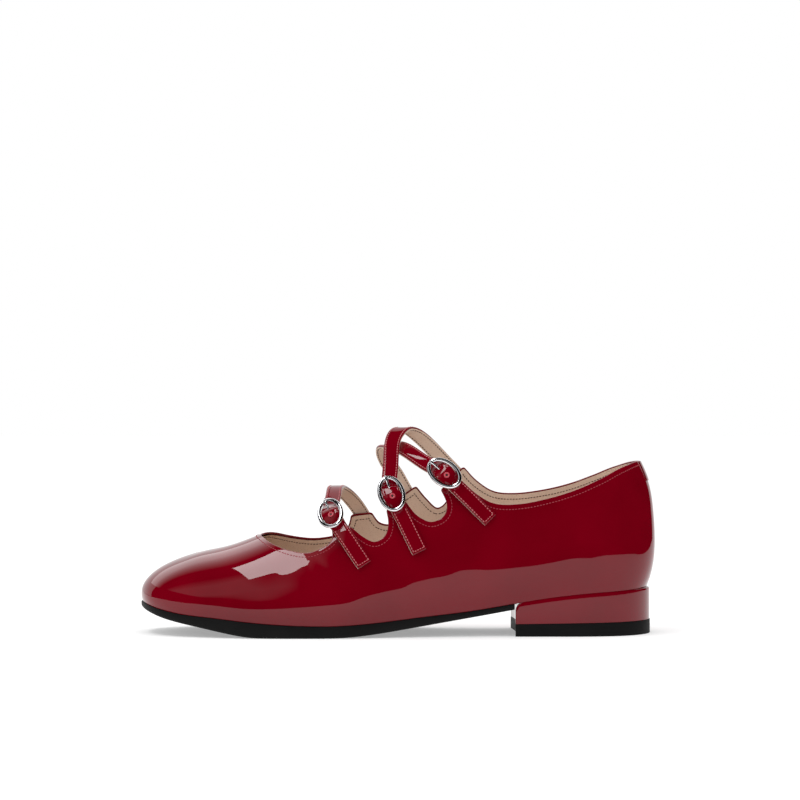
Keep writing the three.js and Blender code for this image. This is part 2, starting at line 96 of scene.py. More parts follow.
# %% [markdown]
# ## Camera, floor and light
#
# The shoe is seen from its outer side, from a little above the floor and from far away, so that the
# verticals stay upright. A long lens on a plain camera does that. The floor is pale and the light is
# one wide soft panel above, with a narrow strip over the toe. Patent leather is a dark mirror, so what
# the shoe sees matters as much as the lamps: a pale floor near by, a dark room behind the camera and
# past the toe, and a soft glow above the vamp on each side. Boards that the camera doesn't see stand
# for that room. A sky painted round the world could do the same, but boards can be moved one at a
# time until each reflection lies right.

# %% Camera
CAMERA_FAR = 1.2
CAMERA_UP = 0.1008
CAMERA_SIDE = 0.0011
CAMERA_TILT = math.radians(0.58)
FRAME_WIDTH_AT_SHOE = 0.3902
SENSOR = 36
scene = bpy.context.scene
camera_data = bpy.data.cameras.new("camera")
camera = bpy.data.objects.new("camera", camera_data)
scene.collection.objects.link(camera)
camera.location = (CAMERA_SIDE, -CAMERA_FAR, CAMERA_UP)
camera.rotation_euler = (math.pi / 2 + CAMERA_TILT, 0, 0)
camera_data.sensor_width = SENSOR
camera_data.lens = SENSOR * CAMERA_FAR / FRAME_WIDTH_AT_SHOE
scene.camera = camera
print("lens", round(camera_data.lens, 1), "mm")

# %% Floor
FLOOR_HALF = 20.0
bpy.ops.object.select_all(action="DESELECT")
bpy.ops.mesh.primitive_plane_add(size=2 * FLOOR_HALF, location=(0, 0, 0))
floor = bpy.context.object
floor.name = "floor"
floor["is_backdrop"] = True
print("floor half width", FLOOR_HALF, "m")


# %% Lamps
def panel(name, place, look_at, size, watts):
    """A soft panel lamp that faces a point."""
    data = bpy.data.lights.new(name, "AREA")
    data.shape = "RECTANGLE"
    data.size, data.size_y = size
    data.energy = watts
    lamp = bpy.data.objects.new(name, data)
    scene.collection.objects.link(lamp)
    lamp.location = place
    turn = (Vector(look_at) - Vector(place)).to_track_quat("-Z", "Y")
    lamp.rotation_euler = turn.to_euler()
    return lamp


SHOE_MIDDLE = (0, 0, 0.05)
STRIP_AT = (-0.585, -0.60)
WORLD_STRENGTH = 1.0
overhead = panel("overhead", (0.1, 0.2, 2.0), SHOE_MIDDLE, (1.6, 1.2), 6)
overhead.visible_glossy = False
strip = panel("strip_over_the_toe", (*STRIP_AT, 1.6), (*STRIP_AT, 0), (0.27, 1.30), 9)
world = bpy.data.worlds.new("studio")
scene.world = world
world.use_nodes = True
background = world.node_tree.nodes["Background"]
background.inputs["Color"].default_value = (1, 1, 1, 1)
background.inputs["Strength"].default_value = WORLD_STRENGTH
scene.view_settings.view_transform = "Standard"
print("lamps", overhead.data.energy, "and", strip.data.energy, "W")


# %% Dark and glowing boards that only reflections see
TENT_WIDE, TENT_FAR, TENT_BACK, TENT_HIGH = 4.0, -4.0, 1.25, 2.6
WHOLE_TENT = (-TENT_WIDE, TENT_WIDE)
FLOOR_EDGE = -0.7
FLOOR_TOE = -0.8
FLOOR_LIFT = 0.002
GLOW_HIGH = 1.7
BACK_GLOW_X, BACK_GLOW_Y = (-3.0, -0.15), (0.2, 3.0)
FRONT_GLOW_X, FRONT_GLOW_Y = (-2.8, -0.45), (-3.8, -0.4)


def board(name, corners):
    """A board that the camera doesn't see and that throws no shadow, only shows in the gloss."""
    bpy.ops.object.select_all(action="DESELECT")
    bpy.ops.mesh.primitive_plane_add(size=2)
    piece = bpy.context.object
    piece.name = name
    for vertex, corner in zip(piece.data.vertices, corners):
        vertex.co = corner
    piece.visible_camera = False
    piece.visible_shadow = False
    piece.visible_diffuse = False
    piece.visible_transmission = False
    piece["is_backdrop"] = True
    return piece


def level_board(name, x_span, y_span, height):
    """A board that lies flat at a height."""
    return board(name, [(x, y, height) for y in y_span for x in x_span])


def upright_board(name, first, second):
    """A board that stands on the floor from one place to another, as high as the tent."""
    return board(name, [(*place, height) for height in (0, TENT_HIGH) for place in (first, second)])


dark_boards = [
    level_board("dark_floor", WHOLE_TENT, (TENT_FAR, FLOOR_EDGE), FLOOR_LIFT),
    upright_board("dark_room", (-TENT_WIDE, TENT_FAR), (TENT_WIDE, TENT_FAR)),
    level_board("dark_roof", WHOLE_TENT, (TENT_FAR, TENT_BACK), TENT_HIGH),
    upright_board("dark_side_toe", (-TENT_WIDE, TENT_FAR), (-TENT_WIDE, TENT_BACK)),
    upright_board("dark_side_heel", (TENT_WIDE, TENT_FAR), (TENT_WIDE, TENT_WIDE)),
    level_board("dark_toe_floor", (-TENT_WIDE, FLOOR_TOE), (FLOOR_EDGE, TENT_BACK), FLOOR_LIFT),
]
back_glow = level_board("back_glow", BACK_GLOW_X, BACK_GLOW_Y, GLOW_HIGH)
front_glow = level_board("front_glow", FRONT_GLOW_X, FRONT_GLOW_Y, GLOW_HIGH)
print("boards:", len(dark_boards), "dark and 2 glowing")

# %% [markdown]
# ## The last
#
# A shoe is pulled over a wooden foot, the last. Ours is a table with a row per section, from the toe
# tip round one side to the back of the heel. Each column is made smooth by a cubic curve, so that the
# leather has no kinks: on patent leather every kink would show as a broken reflection. A table is
# used rather than a sculpted block because the same rows give the sole, heel, insole and straps.

# %% Table of sections, in millimetres as a last maker writes it
COLUMNS = ("around", "x", "mid", "half", "seat", "crown_x", "crown", "slope", "square", "belly",
           "belly_up", "nip")
SECTIONS = (
    (0, -124.5, 3.2, 0, 15.6, -98, 38.6, 0.3, 3, 0.8, 7, 0),
    (12.6, -122.6, 2.9, 12.2, 15.3, -97.3, 38.8, 0.3, 2.95, 1, 7, 0),
    (20, -119.5, 2.2, 18.6, 14.5, -96.3, 39, 0.3, 2.85, 1.2, 7, 0),
    (28, -114.4, 1.6, 24.1, 13.2, -94.6, 39.4, 0.3, 2.75, 1.4, 8, 0),
    (39.5, -104.3, 0.8, 29.9, 11.2, -91, 40.2, 0.28, 2.6, 1.6, 8, 0),
    (55, -89.3, -0.2, 34.4, 9.7, -82.5, 42.1, 0.28, 2.4, 1.8, 9, 0),
    (70, -74.3, -0.8, 37.3, 8.1, -71.5, 45.9, 0.32, 2.25, 1.9, 10, 0),
    (85, -59.3, -0.9, 38.7, 6.8, -59, 51.2, 0.4, 2.2, 2, 11, 0),
    (100, -44.3, -1, 39, 6.1, -44.3, 58.5, 0.5, 2.2, 2, 13, 0),
    (115, -29.3, -1.5, 37.5, 6, -29.3, 69, 0.7, 2.2, 2.2, 15, 0),
    (135.5, -9.3, -2.3, 33.8, 7.4, -9.3, 84, 0.7, 2.2, 2.6, 18, 0),
    (156, 10.7, -3.2, 29.3, 9.7, 10.7, 97, 0.5, 2.2, 3, 22, 0),
    (176, 30.7, -3.2, 26.3, 11.9, 30.7, 108, 0.4, 2.2, 3.4, 25, 0),
    (196, 50.7, -2.3, 25.8, 15, 50.7, 118, 0.2, 2.2, 3.6, 22, 0),
    (216, 70.7, -1.2, 26.8, 18.4, 70.7, 128, 0, 2.2, 3.5, 21, 0),
    (240, 95, -0.3, 26.7, 21, 92, 140, 0, 2.2, 3.3, 20, 0.6),
    (254, 107.9, 0, 22.8, 21.8, 95, 144, 0, 2.2, 3.3, 18, 1.6),
    (268, 117.6, 0, 13.1, 22.4, 95, 146, 0, 2.2, 3.8, 17, 2.8),
    (282, 121.3, 0, 0, 22.6, 95, 146, 0, 2.2, 4.4, 28, 3.4),
)
UNDERSIDE = ((-126, 13.4), (-120, 11), (-112, 8.4), (-97, 5.2), (-80, 1.8), (-70, 0.3), (-60, 0),
             (-47, 0), (-34, 0), (-24, 0.3), (-12, 1.5), (2, 3.6), (22, 6.9), (42, 10.3), (58, 13.2))
BACK = SECTIONS[-1][0]
BALL = 100.0
NIP_FROM, NIP_TO = 42, 61
OUTER, INNER = -1, 1
LOWEST, HIGHEST = 0.02, 0.985
WAY_STEP, RISE_STEP = 0.1, 0.001


# %% Smooth columns
class Smooth:
    """A cubic curve through table rows, with its slope. Ends are level or straight."""

    def __init__(self, xs, ys, ends):
        self.xs, self.ys = np.array(xs, float), np.array(ys, float)
        step = np.diff(self.xs)
        rise = np.diff(self.ys) / step
        count = len(self.xs)
        matrix, right = np.eye(count), np.zeros(count)
        for i in range(1, count - 1):
            matrix[i, i - 1:i + 2] = step[i - 1], 2 * (step[i - 1] + step[i]), step[i]
            right[i] = 6 * (rise[i] - rise[i - 1])
        if ends == "level":
            matrix[0, :2] = 2 * step[0], step[0]
            matrix[-1, -2:] = step[-1], 2 * step[-1]
            right[0], right[-1] = 6 * rise[0], -6 * rise[-1]
        self.bend = np.linalg.solve(matrix, right)

    def parts(self, x):
        i = np.clip(np.searchsorted(self.xs, x) - 1, 0, len(self.xs) - 2)
        h = self.xs[i + 1] - self.xs[i]
        b = (x - self.xs[i]) / h
        return i, h, 1 - b, b

    def __call__(self, x):
        i, h, a, b = self.parts(np.asarray(x, float))
        curve = ((a ** 3 - a) * self.bend[i] + (b ** 3 - b) * self.bend[i + 1]) * h * h / 6
        return a * self.ys[i] + b * self.ys[i + 1] + curve

    def slope(self, x):
        i, h, a, b = self.parts(np.asarray(x, float))
        curve = ((3 * b * b - 1) * self.bend[i + 1] - (3 * a * a - 1) * self.bend[i]) * h / 6
        return (self.ys[i + 1] - self.ys[i]) / h + curve


around_rows = [row[0] for row in SECTIONS]
last = {name: Smooth(around_rows, [row[k] for row in SECTIONS],
                     "straight" if name == "half" else "level")
        for k, name in enumerate(COLUMNS) if k}
underside_curve = Smooth(*zip(*UNDERSIDE), "straight")
print("last:", len(SECTIONS), "sections,", len(COLUMNS) - 1, "columns")


# %% Points of the last's skin
def seat_edge(around, side, out=0.0):
    """The edge between upper and sole, in millimetres, pushed outwards in plan by out."""
    around = np.asarray(around, float)
    x, y = last["x"](around), last["mid"](around) + side * last["half"](around)
    run_x = last["x"].slope(around)
    run_y = last["mid"].slope(around) + side * last["half"].slope(around)
    length = np.hypot(run_x, run_y)
    return np.stack([x - side * run_y / length * out, y + side * run_x / length * out,
                     last["seat"](around) + 0 * x], axis=-1)


def skin(around, rise, side):
    """Points of the outer skin in millimetres: rise goes from 0 at the sole to 1 on top."""
    around, rise = np.asarray(around, float), np.asarray(rise, float)
    angle = rise * math.pi / 2
    power = 2 / last["square"](around)
    inward, upward = np.maximum(np.cos(angle), 0) ** power, np.sin(angle) ** power
    edge = seat_edge(around, side)
    crown_x, mid = last["crown_x"](around), last["mid"](around)
    x = crown_x + (edge[..., 0] - crown_x) * inward
    y = mid + (edge[..., 1] - mid) * inward
    top = last["crown"](around) + last["slope"](around) * (x - crown_x)
    up = (top - edge[..., 2]) * upward
    swell = up / last["belly_up"](around)
    drawn = np.maximum((up - NIP_FROM) / (NIP_TO - NIP_FROM), 0) ** 2
    out = (last["belly"](around) * swell * np.exp(1 - swell) * np.cos(angle)
           - last["nip"](around) * drawn)
    push = seat_edge(around, side, out) - edge
    return np.stack([x + push[..., 0], y + push[..., 1], edge[..., 2] + up], axis=-1)


def facing(surface, around, rise, side):
    """Unit vectors out of a surface, from two short steps on it. Both sides agree where they meet."""
    near = np.clip(around, WAY_STEP, BACK - WAY_STEP)
    low = np.clip(rise, LOWEST, HIGHEST)
    along = surface(near + WAY_STEP, low, side) - surface(near - WAY_STEP, low, side)
    up = surface(near, low + 0.008, side) - surface(near, low - 0.008, side)
    normal = -side * np.cross(along, up)
    meets = (rise > 0.9995) | (around < 0.01) | (around > BACK - 0.01)
    normal[..., 1] = np.where(meets, 0, normal[..., 1])
    return normal / np.linalg.norm(normal, axis=-1, keepdims=True)


def skin_normal(around, rise, side):
    return facing(skin, np.asarray(around, float), np.asarray(rise, float), side)


def skin_find(x, z, side):
    """The (around, rise) of the places that are at x and z when seen from the side."""
    x, z = np.asarray(x, float), np.asarray(z, float)
    around = np.interp(x, last["x"].ys, last["x"].xs)
    rise = np.full(x.shape, 0.45)
    for _ in range(30):
        here = skin(around, rise, side)
        by_around = (skin(around + WAY_STEP, rise, side) - here) / WAY_STEP
        by_rise = (skin(around, rise + RISE_STEP, side) - here) / RISE_STEP
        miss_x, miss_z = x - here[..., 0], z - here[..., 2]
        det = by_around[..., 0] * by_rise[..., 2] - by_rise[..., 0] * by_around[..., 2]
        step_a = (miss_x * by_rise[..., 2] - by_rise[..., 0] * miss_z) / det
        step_r = (by_around[..., 0] * miss_z - miss_x * by_around[..., 2]) / det
        around = np.clip(around + np.clip(step_a, -8, 8), 0.5, BACK - 0.5)
        rise = np.clip(rise + np.clip(step_r, -0.1, 0.1), LOWEST, HIGHEST)
    return around, rise


ball_sides = [float(skin(BALL, 0.2, side)[1]) for side in (OUTER, INNER)]
print("width over the ball", round(ball_sides[1] - ball_sides[0], 1), "mm")

# %% [markdown]
# ## The opening
#
# The throat, the gaps between the tabs and the collar are one line on each side. It is drawn as seen
# from the side, corner by corner, because that is how a pattern cutter marks it on a last. A row ends
# in 1 where the line has a sharp corner. The line is then moved to the last's own measures, the way
# around and the rise, where the leather is flat and easy to cut.

# %% Opening lines, in millimetres
OPENING = {
    OUTER: ((-63.4, 45.6, 0), (-55.5, 42, 0), (-45, 39.9, 0), (-37, 41.6, 0), (-31, 46, 0),
            (-31.2, 52.2, 1), (-22.9, 52.4, 1), (-17.4, 48, 0), (-11.3, 45.1, 0), (-5.7, 48, 0),
            (-4, 54, 0), (-5, 60.4, 1), (3.4, 64.2, 1), (8.4, 58, 0), (15.4, 54.4, 0), (22, 57, 0),
            (23.9, 63, 0), (20.9, 70.2, 1), (30, 74.1, 1), (37.4, 67.6, 0), (46, 63, 0),
            (58, 62.7, 0), (72, 65.4, 0), (85, 69.4, 0), (97, 74.6, 0), (108, 80.1, 0)),
    INNER: ((-63.4, 48.2, 0), (-55.5, 46.4, 0), (-45, 44.4, 0), (-34, 45, 0), (-25.4, 49, 0),
            (-22.9, 56, 1), (-13.2, 57, 1), (-9.4, 52.2, 0), (-3.4, 51.2, 0), (1, 56.4, 0),
            (1.8, 65.2, 1), (8.9, 70.2, 1), (13.5, 64.6, 0), (19.5, 59.4, 0), (25, 64, 0),
            (25.8, 74, 1), (32.4, 79.8, 1), (38.4, 73.4, 0), (47, 67.8, 0), (58, 66.6, 0),
            (72, 68.2, 0), (85, 71.2, 0), (97, 75.5, 0), (108, 80.1, 0)),
}
THROAT_X = -66.8
BACK_TOP = 83.2
TAB_CORNER = 1.0
FLAT_HIGH = 100.0


def curve_through(points, steps=8, before=None, after=None):
    """Smooth line through points. before and after are the points it would come from and go to."""
    points = np.array(points, float)
    first = points[0] if before is None else before
    final = points[-1] if after is None else after
    ghost = np.vstack([first, points, final])
    t = np.linspace(0, 1, steps, endpoint=False)[:, None]
    parts = []
    for a, b, c, d in zip(ghost, ghost[1:], ghost[2:], ghost[3:]):
        parts.append(0.5 * (2 * b + (c - a) * t + (2 * a - 5 * b + 4 * c - d) * t ** 2
                            + (3 * b - a - 3 * c + d) * t ** 3))
    return np.vstack([*parts, points[-1:]])


def after_reach(part, reach, scale=(1, FLAT_HIGH)):
    """A line without its first stretch, up to reach from its start."""
    gaps = np.linalg.norm((part - part[0]) * scale, axis=1)
    k = int(np.argmax(gaps > reach))
    share = (reach - gaps[k - 1]) / (gaps[k] - gaps[k - 1])
    return np.vstack([part[k - 1] + (part[k] - part[k - 1]) * share, part[k:]])


def round_corner(start, corner, end, steps=5):
    """Points of a soft bend from start to end, drawn towards the corner."""
    t = np.linspace(0, 1, steps + 2)[1:-1, None]
    return (1 - t) ** 2 * start + 2 * t * (1 - t) * corner + t ** 2 * end


def rise_at_back(height):
    """The rise of a height in millimetres on the line down the middle of the back."""
    rises = np.linspace(0, 1, 400)
    return np.interp(height, skin(np.full(400, BACK), rises, OUTER)[:, 2], rises)


THROAT_AROUND = float(np.interp(THROAT_X, last["crown_x"].ys[4:10], last["crown_x"].xs[4:10]))


def opening_line(side):
    """The cut in (around, rise), from the ridge over the toes to the middle of the back."""
    rows = OPENING[side]
    found = np.column_stack(skin_find([r[0] for r in rows], [r[1] for r in rows], side))
    start, end = np.array([THROAT_AROUND, 1.0]), np.array([BACK, rise_at_back(BACK_TOP)])
    found = np.vstack([start, found, end])
    corners = [0] + [k + 1 for k, row in enumerate(rows) if row[2]] + [len(found) - 1]
    line = []
    for a, b in zip(corners, corners[1:]):
        before = found[1] * (1, -1) + (0, 2) if a == 0 else None
        after = found[-2] * (-1, 1) + (2 * BACK, 0) if b == len(found) - 1 else None
        part = curve_through(found[a:b + 1], 8 if b - a > 1 else 5, before, after)
        if a:
            part = after_reach(part, TAB_CORNER)
            line.append(round_corner(line[-1][-1], found[a], part[0]))
        line.append(part if b == len(found) - 1 else after_reach(part[::-1], TAB_CORNER)[::-1])
    return np.vstack(line)


cut_lines = {side: opening_line(side) for side in (OUTER, INNER)}
print("cut points", {side: len(line) for side, line in cut_lines.items()})

# %% [markdown]
# ## Creases and long waves
#
# Patent leather that has been pulled over a last isn't perfectly even. It keeps shallow waves near the
# throat, a soft trough beside each tab and a slight pinch above the heel. A bump texture would break
# the gloss up like orange peel, so these go into the shape: each crease is a soft trough or ridge
# at its own place, length, width and depth, all in millimetres.

# %% Creases, one by one
CREASES = (
    # side, x, z, half length, half width, height, turn in degrees
    (OUTER, -70, 30, 16, 5.5, 0.28, 14), (OUTER, -66, 21, 15, 4.5, -0.24, 6),
    (OUTER, -52, 33, 11, 3.2, -0.22, 24), (OUTER, -58, 14, 18, 4.0, 0.16, 2),
    (OUTER, -30, 24, 13, 5.0, -0.18, -22), (OUTER, -8, 34, 12, 4.0, -0.20, -35),
    (OUTER, 14, 42, 12, 4.2, -0.20, -38), (OUTER, 38, 50, 14, 5.0, -0.16, -12),
    (OUTER, 92, 46, 5, 17.0, -0.22, 8), (OUTER, 66, 30, 20, 6.0, 0.16, 6),
    (OUTER, -44.5, 39, 6, 2.0, -0.14, -62), (OUTER, -37, 35, 8, 2.6, -0.12, -42),
    (INNER, -68, 30, 16, 5.5, 0.26, 12), (INNER, -54, 32, 11, 3.4, -0.22, 24),
    (INNER, -24, 26, 13, 5.0, -0.18, -20), (INNER, -4, 36, 12, 4.0, -0.20, -36),
    (INNER, 18, 42, 12, 4.2, -0.20, -34), (INNER, 92, 46, 5, 17.0, -0.22, 8),
)
CREASE_FADE = 6.0
WAVE_HIGH = 0.012
WAVE_LONG = 31.0


def relief(points, side):
    """Height of the creases and waves over the last, in millimetres."""
    x, y, z = points[..., 0], points[..., 1], points[..., 2]
    turn_x, turn_y, turn_z = (places / WAVE_LONG * math.tau for places in (x, y, z))
    # Three waves of different lengths, so that they never fall into step.
    high = WAVE_HIGH * (np.sin(turn_x + 1.7 * np.sin(turn_z)) + np.sin(1.6 * turn_z - 0.7 * turn_x)
                        + 0.6 * np.sin(1.3 * turn_y + 2.1 * turn_x + 1.0))
    for which, at_x, at_z, long, wide, height, degrees in CREASES:
        if which != side:
            continue
        c, s = math.cos(math.radians(degrees)), math.sin(math.radians(degrees))
        along = ((x - at_x) * c + (z - at_z) * s) / long
        over = ((z - at_z) * c - (x - at_x) * s) / wide
        fade = np.clip(side * y / CREASE_FADE, 0, 1)
        high = high + height * fade * np.exp(-along ** 2 - over ** 2)
    return high


def leather(around, rise, side, lift=0.0):
    """Points of the pulled leather, at a lift over its face."""
    points = skin(around, rise, side)
    normal = skin_normal(around, rise, side)
    return points + normal * (relief(points, side) + lift)[..., None]


def leather_normal(around, rise, side):
    return facing(leather, np.asarray(around, float), np.asarray(rise, float), side)


# %% Helpers that hold a mesh
def deselect():
    if bpy.context.object and bpy.context.object.mode != "OBJECT":
        bpy.ops.object.mode_set(mode="OBJECT")
    bpy.ops.object.select_all(action="DESELECT")


def pick(*pieces):
    """Select these pieces alone, the first as the active one."""
    deselect()
    for piece in pieces:
        piece.select_set(True)
    bpy.context.view_layer.objects.active = pieces[0]


def read_points(piece):
    points = np.empty(3 * len(piece.data.vertices))
    piece.data.vertices.foreach_get("co", points)
    return points.reshape(-1, 3)


def lay(piece, points):
    piece.data.vertices.foreach_set("co", np.ascontiguousarray(points, float).ravel())
    piece.data.update()


def note(piece, name, values):
    """Write a vector on every vertex, which joining and merging keep."""
    layer = piece.data.attributes.get(name) or piece.data.attributes.new(name, "FLOAT_VECTOR", "POINT")
    layer.data.foreach_set("vector", np.ascontiguousarray(values, float).ravel())


def read_note(piece, name):
    values = np.empty(3 * len(piece.data.vertices))
    piece.data.attributes[name].data.foreach_get("vector", values)
    return values.reshape(-1, 3)


POINT_MERGE = 0.02 * MM


def merge_points(piece, reach=POINT_MERGE):
    pick(piece)
    bpy.ops.object.mode_set(mode="EDIT")
    bpy.ops.mesh.select_all(action="SELECT")
    bpy.ops.mesh.remove_doubles(threshold=reach)
    bpy.ops.object.mode_set(mode="OBJECT")


def join(*pieces):
    pick(*pieces)
    bpy.ops.object.join()
    return bpy.context.object


def face_out(piece):
    """Turn the faces so that they agree with the noted normals, and shade with those normals."""
    mesh = piece.data
    out = read_note(piece, "out")
    faces = np.empty(3 * len(mesh.polygons))
    mesh.polygons.foreach_get("normal", faces)
    starts = np.array([mesh.loops[p.loop_start].vertex_index for p in mesh.polygons])
    against = np.einsum("ij,ij->i", faces.reshape(-1, 3), out[starts]) < 0
    for k in np.nonzero(against)[0]:
        mesh.polygons[k].flip()
    mesh.update()
    mesh.shade_smooth()
    mesh.normals_split_custom_set_from_vertices(read_note(piece, "out").tolist())
    mesh.attributes.remove(mesh.attributes["out"])
    return int(against.sum())


def net(name, points, normals=None, note_name="out"):
    """A grid primitive laid on rows and columns of points in millimetres, with a note on each."""
    rows, columns = points.shape[:2]
    deselect()
    bpy.ops.mesh.primitive_grid_add(x_subdivisions=columns - 1, y_subdivisions=rows - 1, size=2)
    piece = bpy.context.object
    piece.name = name
    flat = (read_points(piece) + 1) / 2
    column = np.rint(flat[:, 0] * (columns - 1)).astype(int)
    row = np.rint(flat[:, 1] * (rows - 1)).astype(int)
    lay(piece, points[row, column] * MM)
    if normals is not None:
        note(piece, note_name, normals[row, column])
    return piece


# %% [markdown]
# ## Upper leather and lining
#
# On the bench a side of the upper is cut flat, then pulled over the last, and the top edge is skived,
# folded and rounded. We do the same. A flat grid is measured in way around and rise, a cutter in the
# shape of the opening is taken away with a Boolean, and what is left is laid on the last. Cutting the
# flat piece is better than cutting the finished form, because the edge then runs exactly where the
# pattern says and the wall has an even thickness. The lining is cut from the same pattern and laid
# inside the leather.

# %% Cut a side flat
LEATHER_COLUMNS = 200
LEATHER_ROWS = 60
EDGE_MERGE = 0.18
PAST = 9


def flat_side(side):
    """Flat leather of one side with the opening cut away: X is the way around, Y the rise x 100."""
    deselect()
    bpy.ops.mesh.primitive_grid_add(x_subdivisions=LEATHER_COLUMNS, y_subdivisions=LEATHER_ROWS, size=2)
    flat = bpy.context.object
    lay(flat, (read_points(flat) + (1, 1, 0)) * (BACK / 2, FLAT_HIGH / 2, 1))
    line = cut_lines[side] * (1, FLAT_HIGH)
    past = ((BACK + PAST, line[-1, 1]), (BACK + PAST, FLAT_HIGH + PAST), (line[0, 0], FLAT_HIGH + PAST))
    outline = np.vstack([line, past])
    deselect()
    bpy.ops.mesh.primitive_circle_add(vertices=len(outline), fill_type="NGON")
    cutter = bpy.context.object
    lay(cutter, np.column_stack([outline, np.full(len(outline), -5)]))
    bpy.ops.object.mode_set(mode="EDIT")
    bpy.ops.mesh.select_all(action="SELECT")
    bpy.ops.mesh.extrude_region_move(TRANSFORM_OT_translate={"value": (0, 0, 10)})
    bpy.ops.mesh.select_all(action="SELECT")
    bpy.ops.mesh.normals_make_consistent(inside=False)
    bpy.ops.object.mode_set(mode="OBJECT")
    pick(flat)
    cut = flat.modifiers.new("opening", "BOOLEAN")
    cut.operation, cut.solver, cut.object = "DIFFERENCE", "EXACT", cutter
    bpy.ops.object.modifier_apply(modifier=cut.name)
    bpy.data.objects.remove(cutter)
    merge_points(flat, EDGE_MERGE)
    spots = read_points(flat) / (1, FLAT_HIGH, 1)
    spots[:, 2] = side
    note(flat, "spot", spots)
    return flat


# %% Pull both sides over the last
def pull(name, flats, lift):
    """Copies of the flat sides, laid on the last at a lift and sewn into one shell."""
    sheets = []
    for flat in flats:
        sheet = flat.copy()
        sheet.data = flat.data.copy()
        scene.collection.objects.link(sheet)
        around, rise, side = read_note(sheet, "spot").T
        which = int(side[0])
        lay(sheet, leather(around, rise, which, lift) * MM)
        note(sheet, "out", leather_normal(around, rise, which))
        sheets.append(sheet)
    shell = join(*sheets)
    shell.name = name
    merge_points(shell)
    return shell


def rim_loop(shell):
    """Vertices along the cut edge in order, found as the edge that has one face and isn't the foot."""
    mesh = shell.data
    count = np.zeros(len(mesh.edges), int)
    loops = np.empty(len(mesh.loops), int)
    mesh.loops.foreach_get("edge_index", loops)
    np.add.at(count, loops, 1)
    spots = read_note(shell, "spot")
    ends = np.array([mesh.edges[k].vertices[:] for k in np.nonzero(count == 1)[0]])
    ends = ends[(spots[ends[:, 0], 1] > 1e-4) & (spots[ends[:, 1], 1] > 1e-4)]
    beside = {}
    for a, b in ends:
        beside.setdefault(a, []).append(b)
        beside.setdefault(b, []).append(a)
    start = min(beside, key=lambda k: shell.data.vertices[k].co.x)
    loop, here, came = [start], beside[start][0], start
    while here != start:
        loop.append(here)
        onward = [k for k in beside[here] if k != came]
        here, came = onward[0], here
    return np.array(loop)


flat_sides = [flat_side(side) for side in (OUTER, INNER)]
upper_shell = pull("upper_leather", flat_sides, 0.0)
upper_loop = rim_loop(upper_shell)
print("leather points", len(upper_shell.data.vertices), "along its edge", len(upper_loop))


# %% Rounded edge of a sheet
def edge_frame(shell, loop, facing_in=False):
    """Points in millimetres along the edge, with the way out of the face and the way off the edge."""
    points = read_points(shell)[loop] / MM
    out = read_note(shell, "out")[loop] * (-1 if facing_in else 1)
    run = np.roll(points, -1, axis=0) - np.roll(points, 1, axis=0)
    run = run + 0.5 * (np.roll(run, -1, axis=0) + np.roll(run, 1, axis=0))
    off = np.cross(run, out)
    off /= np.linalg.norm(off, axis=1, keepdims=True)
    if off[:, 2].mean() < 0:
        off = -off
    return points, out, off


def close(rows):
    """Rings with their first point again at the end."""
    return np.concatenate([rows, rows[:, :1]], axis=1)


def rounded_rim(name, frame, radius, flap, steps=6):
    """The round edge of a sheet, from its face over to its back, with a flap down the back."""
    points, out, off = frame
    rows, normals = [], []
    for angle in np.linspace(0, math.pi, steps + 1):
        c, s = math.cos(angle), math.sin(angle)
        rows.append(points + out * radius * (c - 1) + off * radius * s)
        normals.append(out * c + off * s)
    rows.append(rows[-1] - off * flap)
    normals.append(normals[-1])
    return net(name, close(np.array(rows)), close(np.array(normals)))


# %% Turn the leather in under the foot
TUCK_WIDE, TUCK_DEEP, TUCK_IN = 0.8, 0.4, 6.0
TOE_HALF = 25
LEATHER_EDGE, LEATHER_FLAP = 0.5, 3.0
LINING_LIFT = -1.75
LINING_EDGE, LINING_FLAP = 0.33, 1.6
RIM_MERGE = 0.004 * MM


def under_turn():
    """The strip that turns in between the upper and the sole, along the whole foot."""
    ways = np.linspace(0, BACK, LEATHER_COLUMNS + 1)
    sides = []
    for side, order in ((OUTER, slice(None)), (INNER, slice(None, None, -1))):
        rise = np.zeros_like(ways)
        edge = leather(ways, rise, side)
        out = seat_edge(ways, side, 1) - seat_edge(ways, side)
        rows, normals = [edge], [leather_normal(ways, rise, side)]
        for angle in np.linspace(0, math.pi / 2, 5)[1:]:
            c, s = math.cos(angle), math.sin(angle)
            rows.append(edge + out * TUCK_WIDE * (c - 1) + np.array((0, 0, -TUCK_DEEP * s)))
            normals.append(out * c + np.array((0, 0, -s)))
        rows.append(rows[-1] - out * TUCK_IN * np.minimum(last["half"](ways) / TOE_HALF, 1)[:, None])
        normals.append(normals[-1])
        sides.append((np.array(rows)[:, order], np.array(normals)[:, order]))
    rows = np.concatenate([sides[0][0], sides[1][0][:, 1:]], axis=1)
    normals = np.concatenate([sides[0][1], sides[1][1][:, 1:]], axis=1)
    return net("under", rows, normals)


upper_frame = edge_frame(upper_shell, upper_loop)
upper = join(upper_shell, rounded_rim("rim", upper_frame, LEATHER_EDGE, LEATHER_FLAP), under_turn())
upper.name = "upper_leather"
merge_points(upper, RIM_MERGE)
print("upper faces turned", face_out(upper), "of", len(upper.data.polygons))

# %% Lining from the same pattern
lining = pull("upper_lining", flat_sides, LINING_LIFT)
lining_loop = rim_loop(lining)
lining_frame = edge_frame(lining, lining_loop, facing_in=True)
note(lining, "out", -read_note(lining, "out"))
lining = join(lining, rounded_rim("rim", lining_frame, LINING_EDGE, LINING_FLAP))
lining.name = "upper_lining"
merge_points(lining, RIM_MERGE)
print("lining faces turned", face_out(lining), "of", len(lining.data.polygons))
for flat in flat_sides:
    bpy.data.objects.remove(flat)

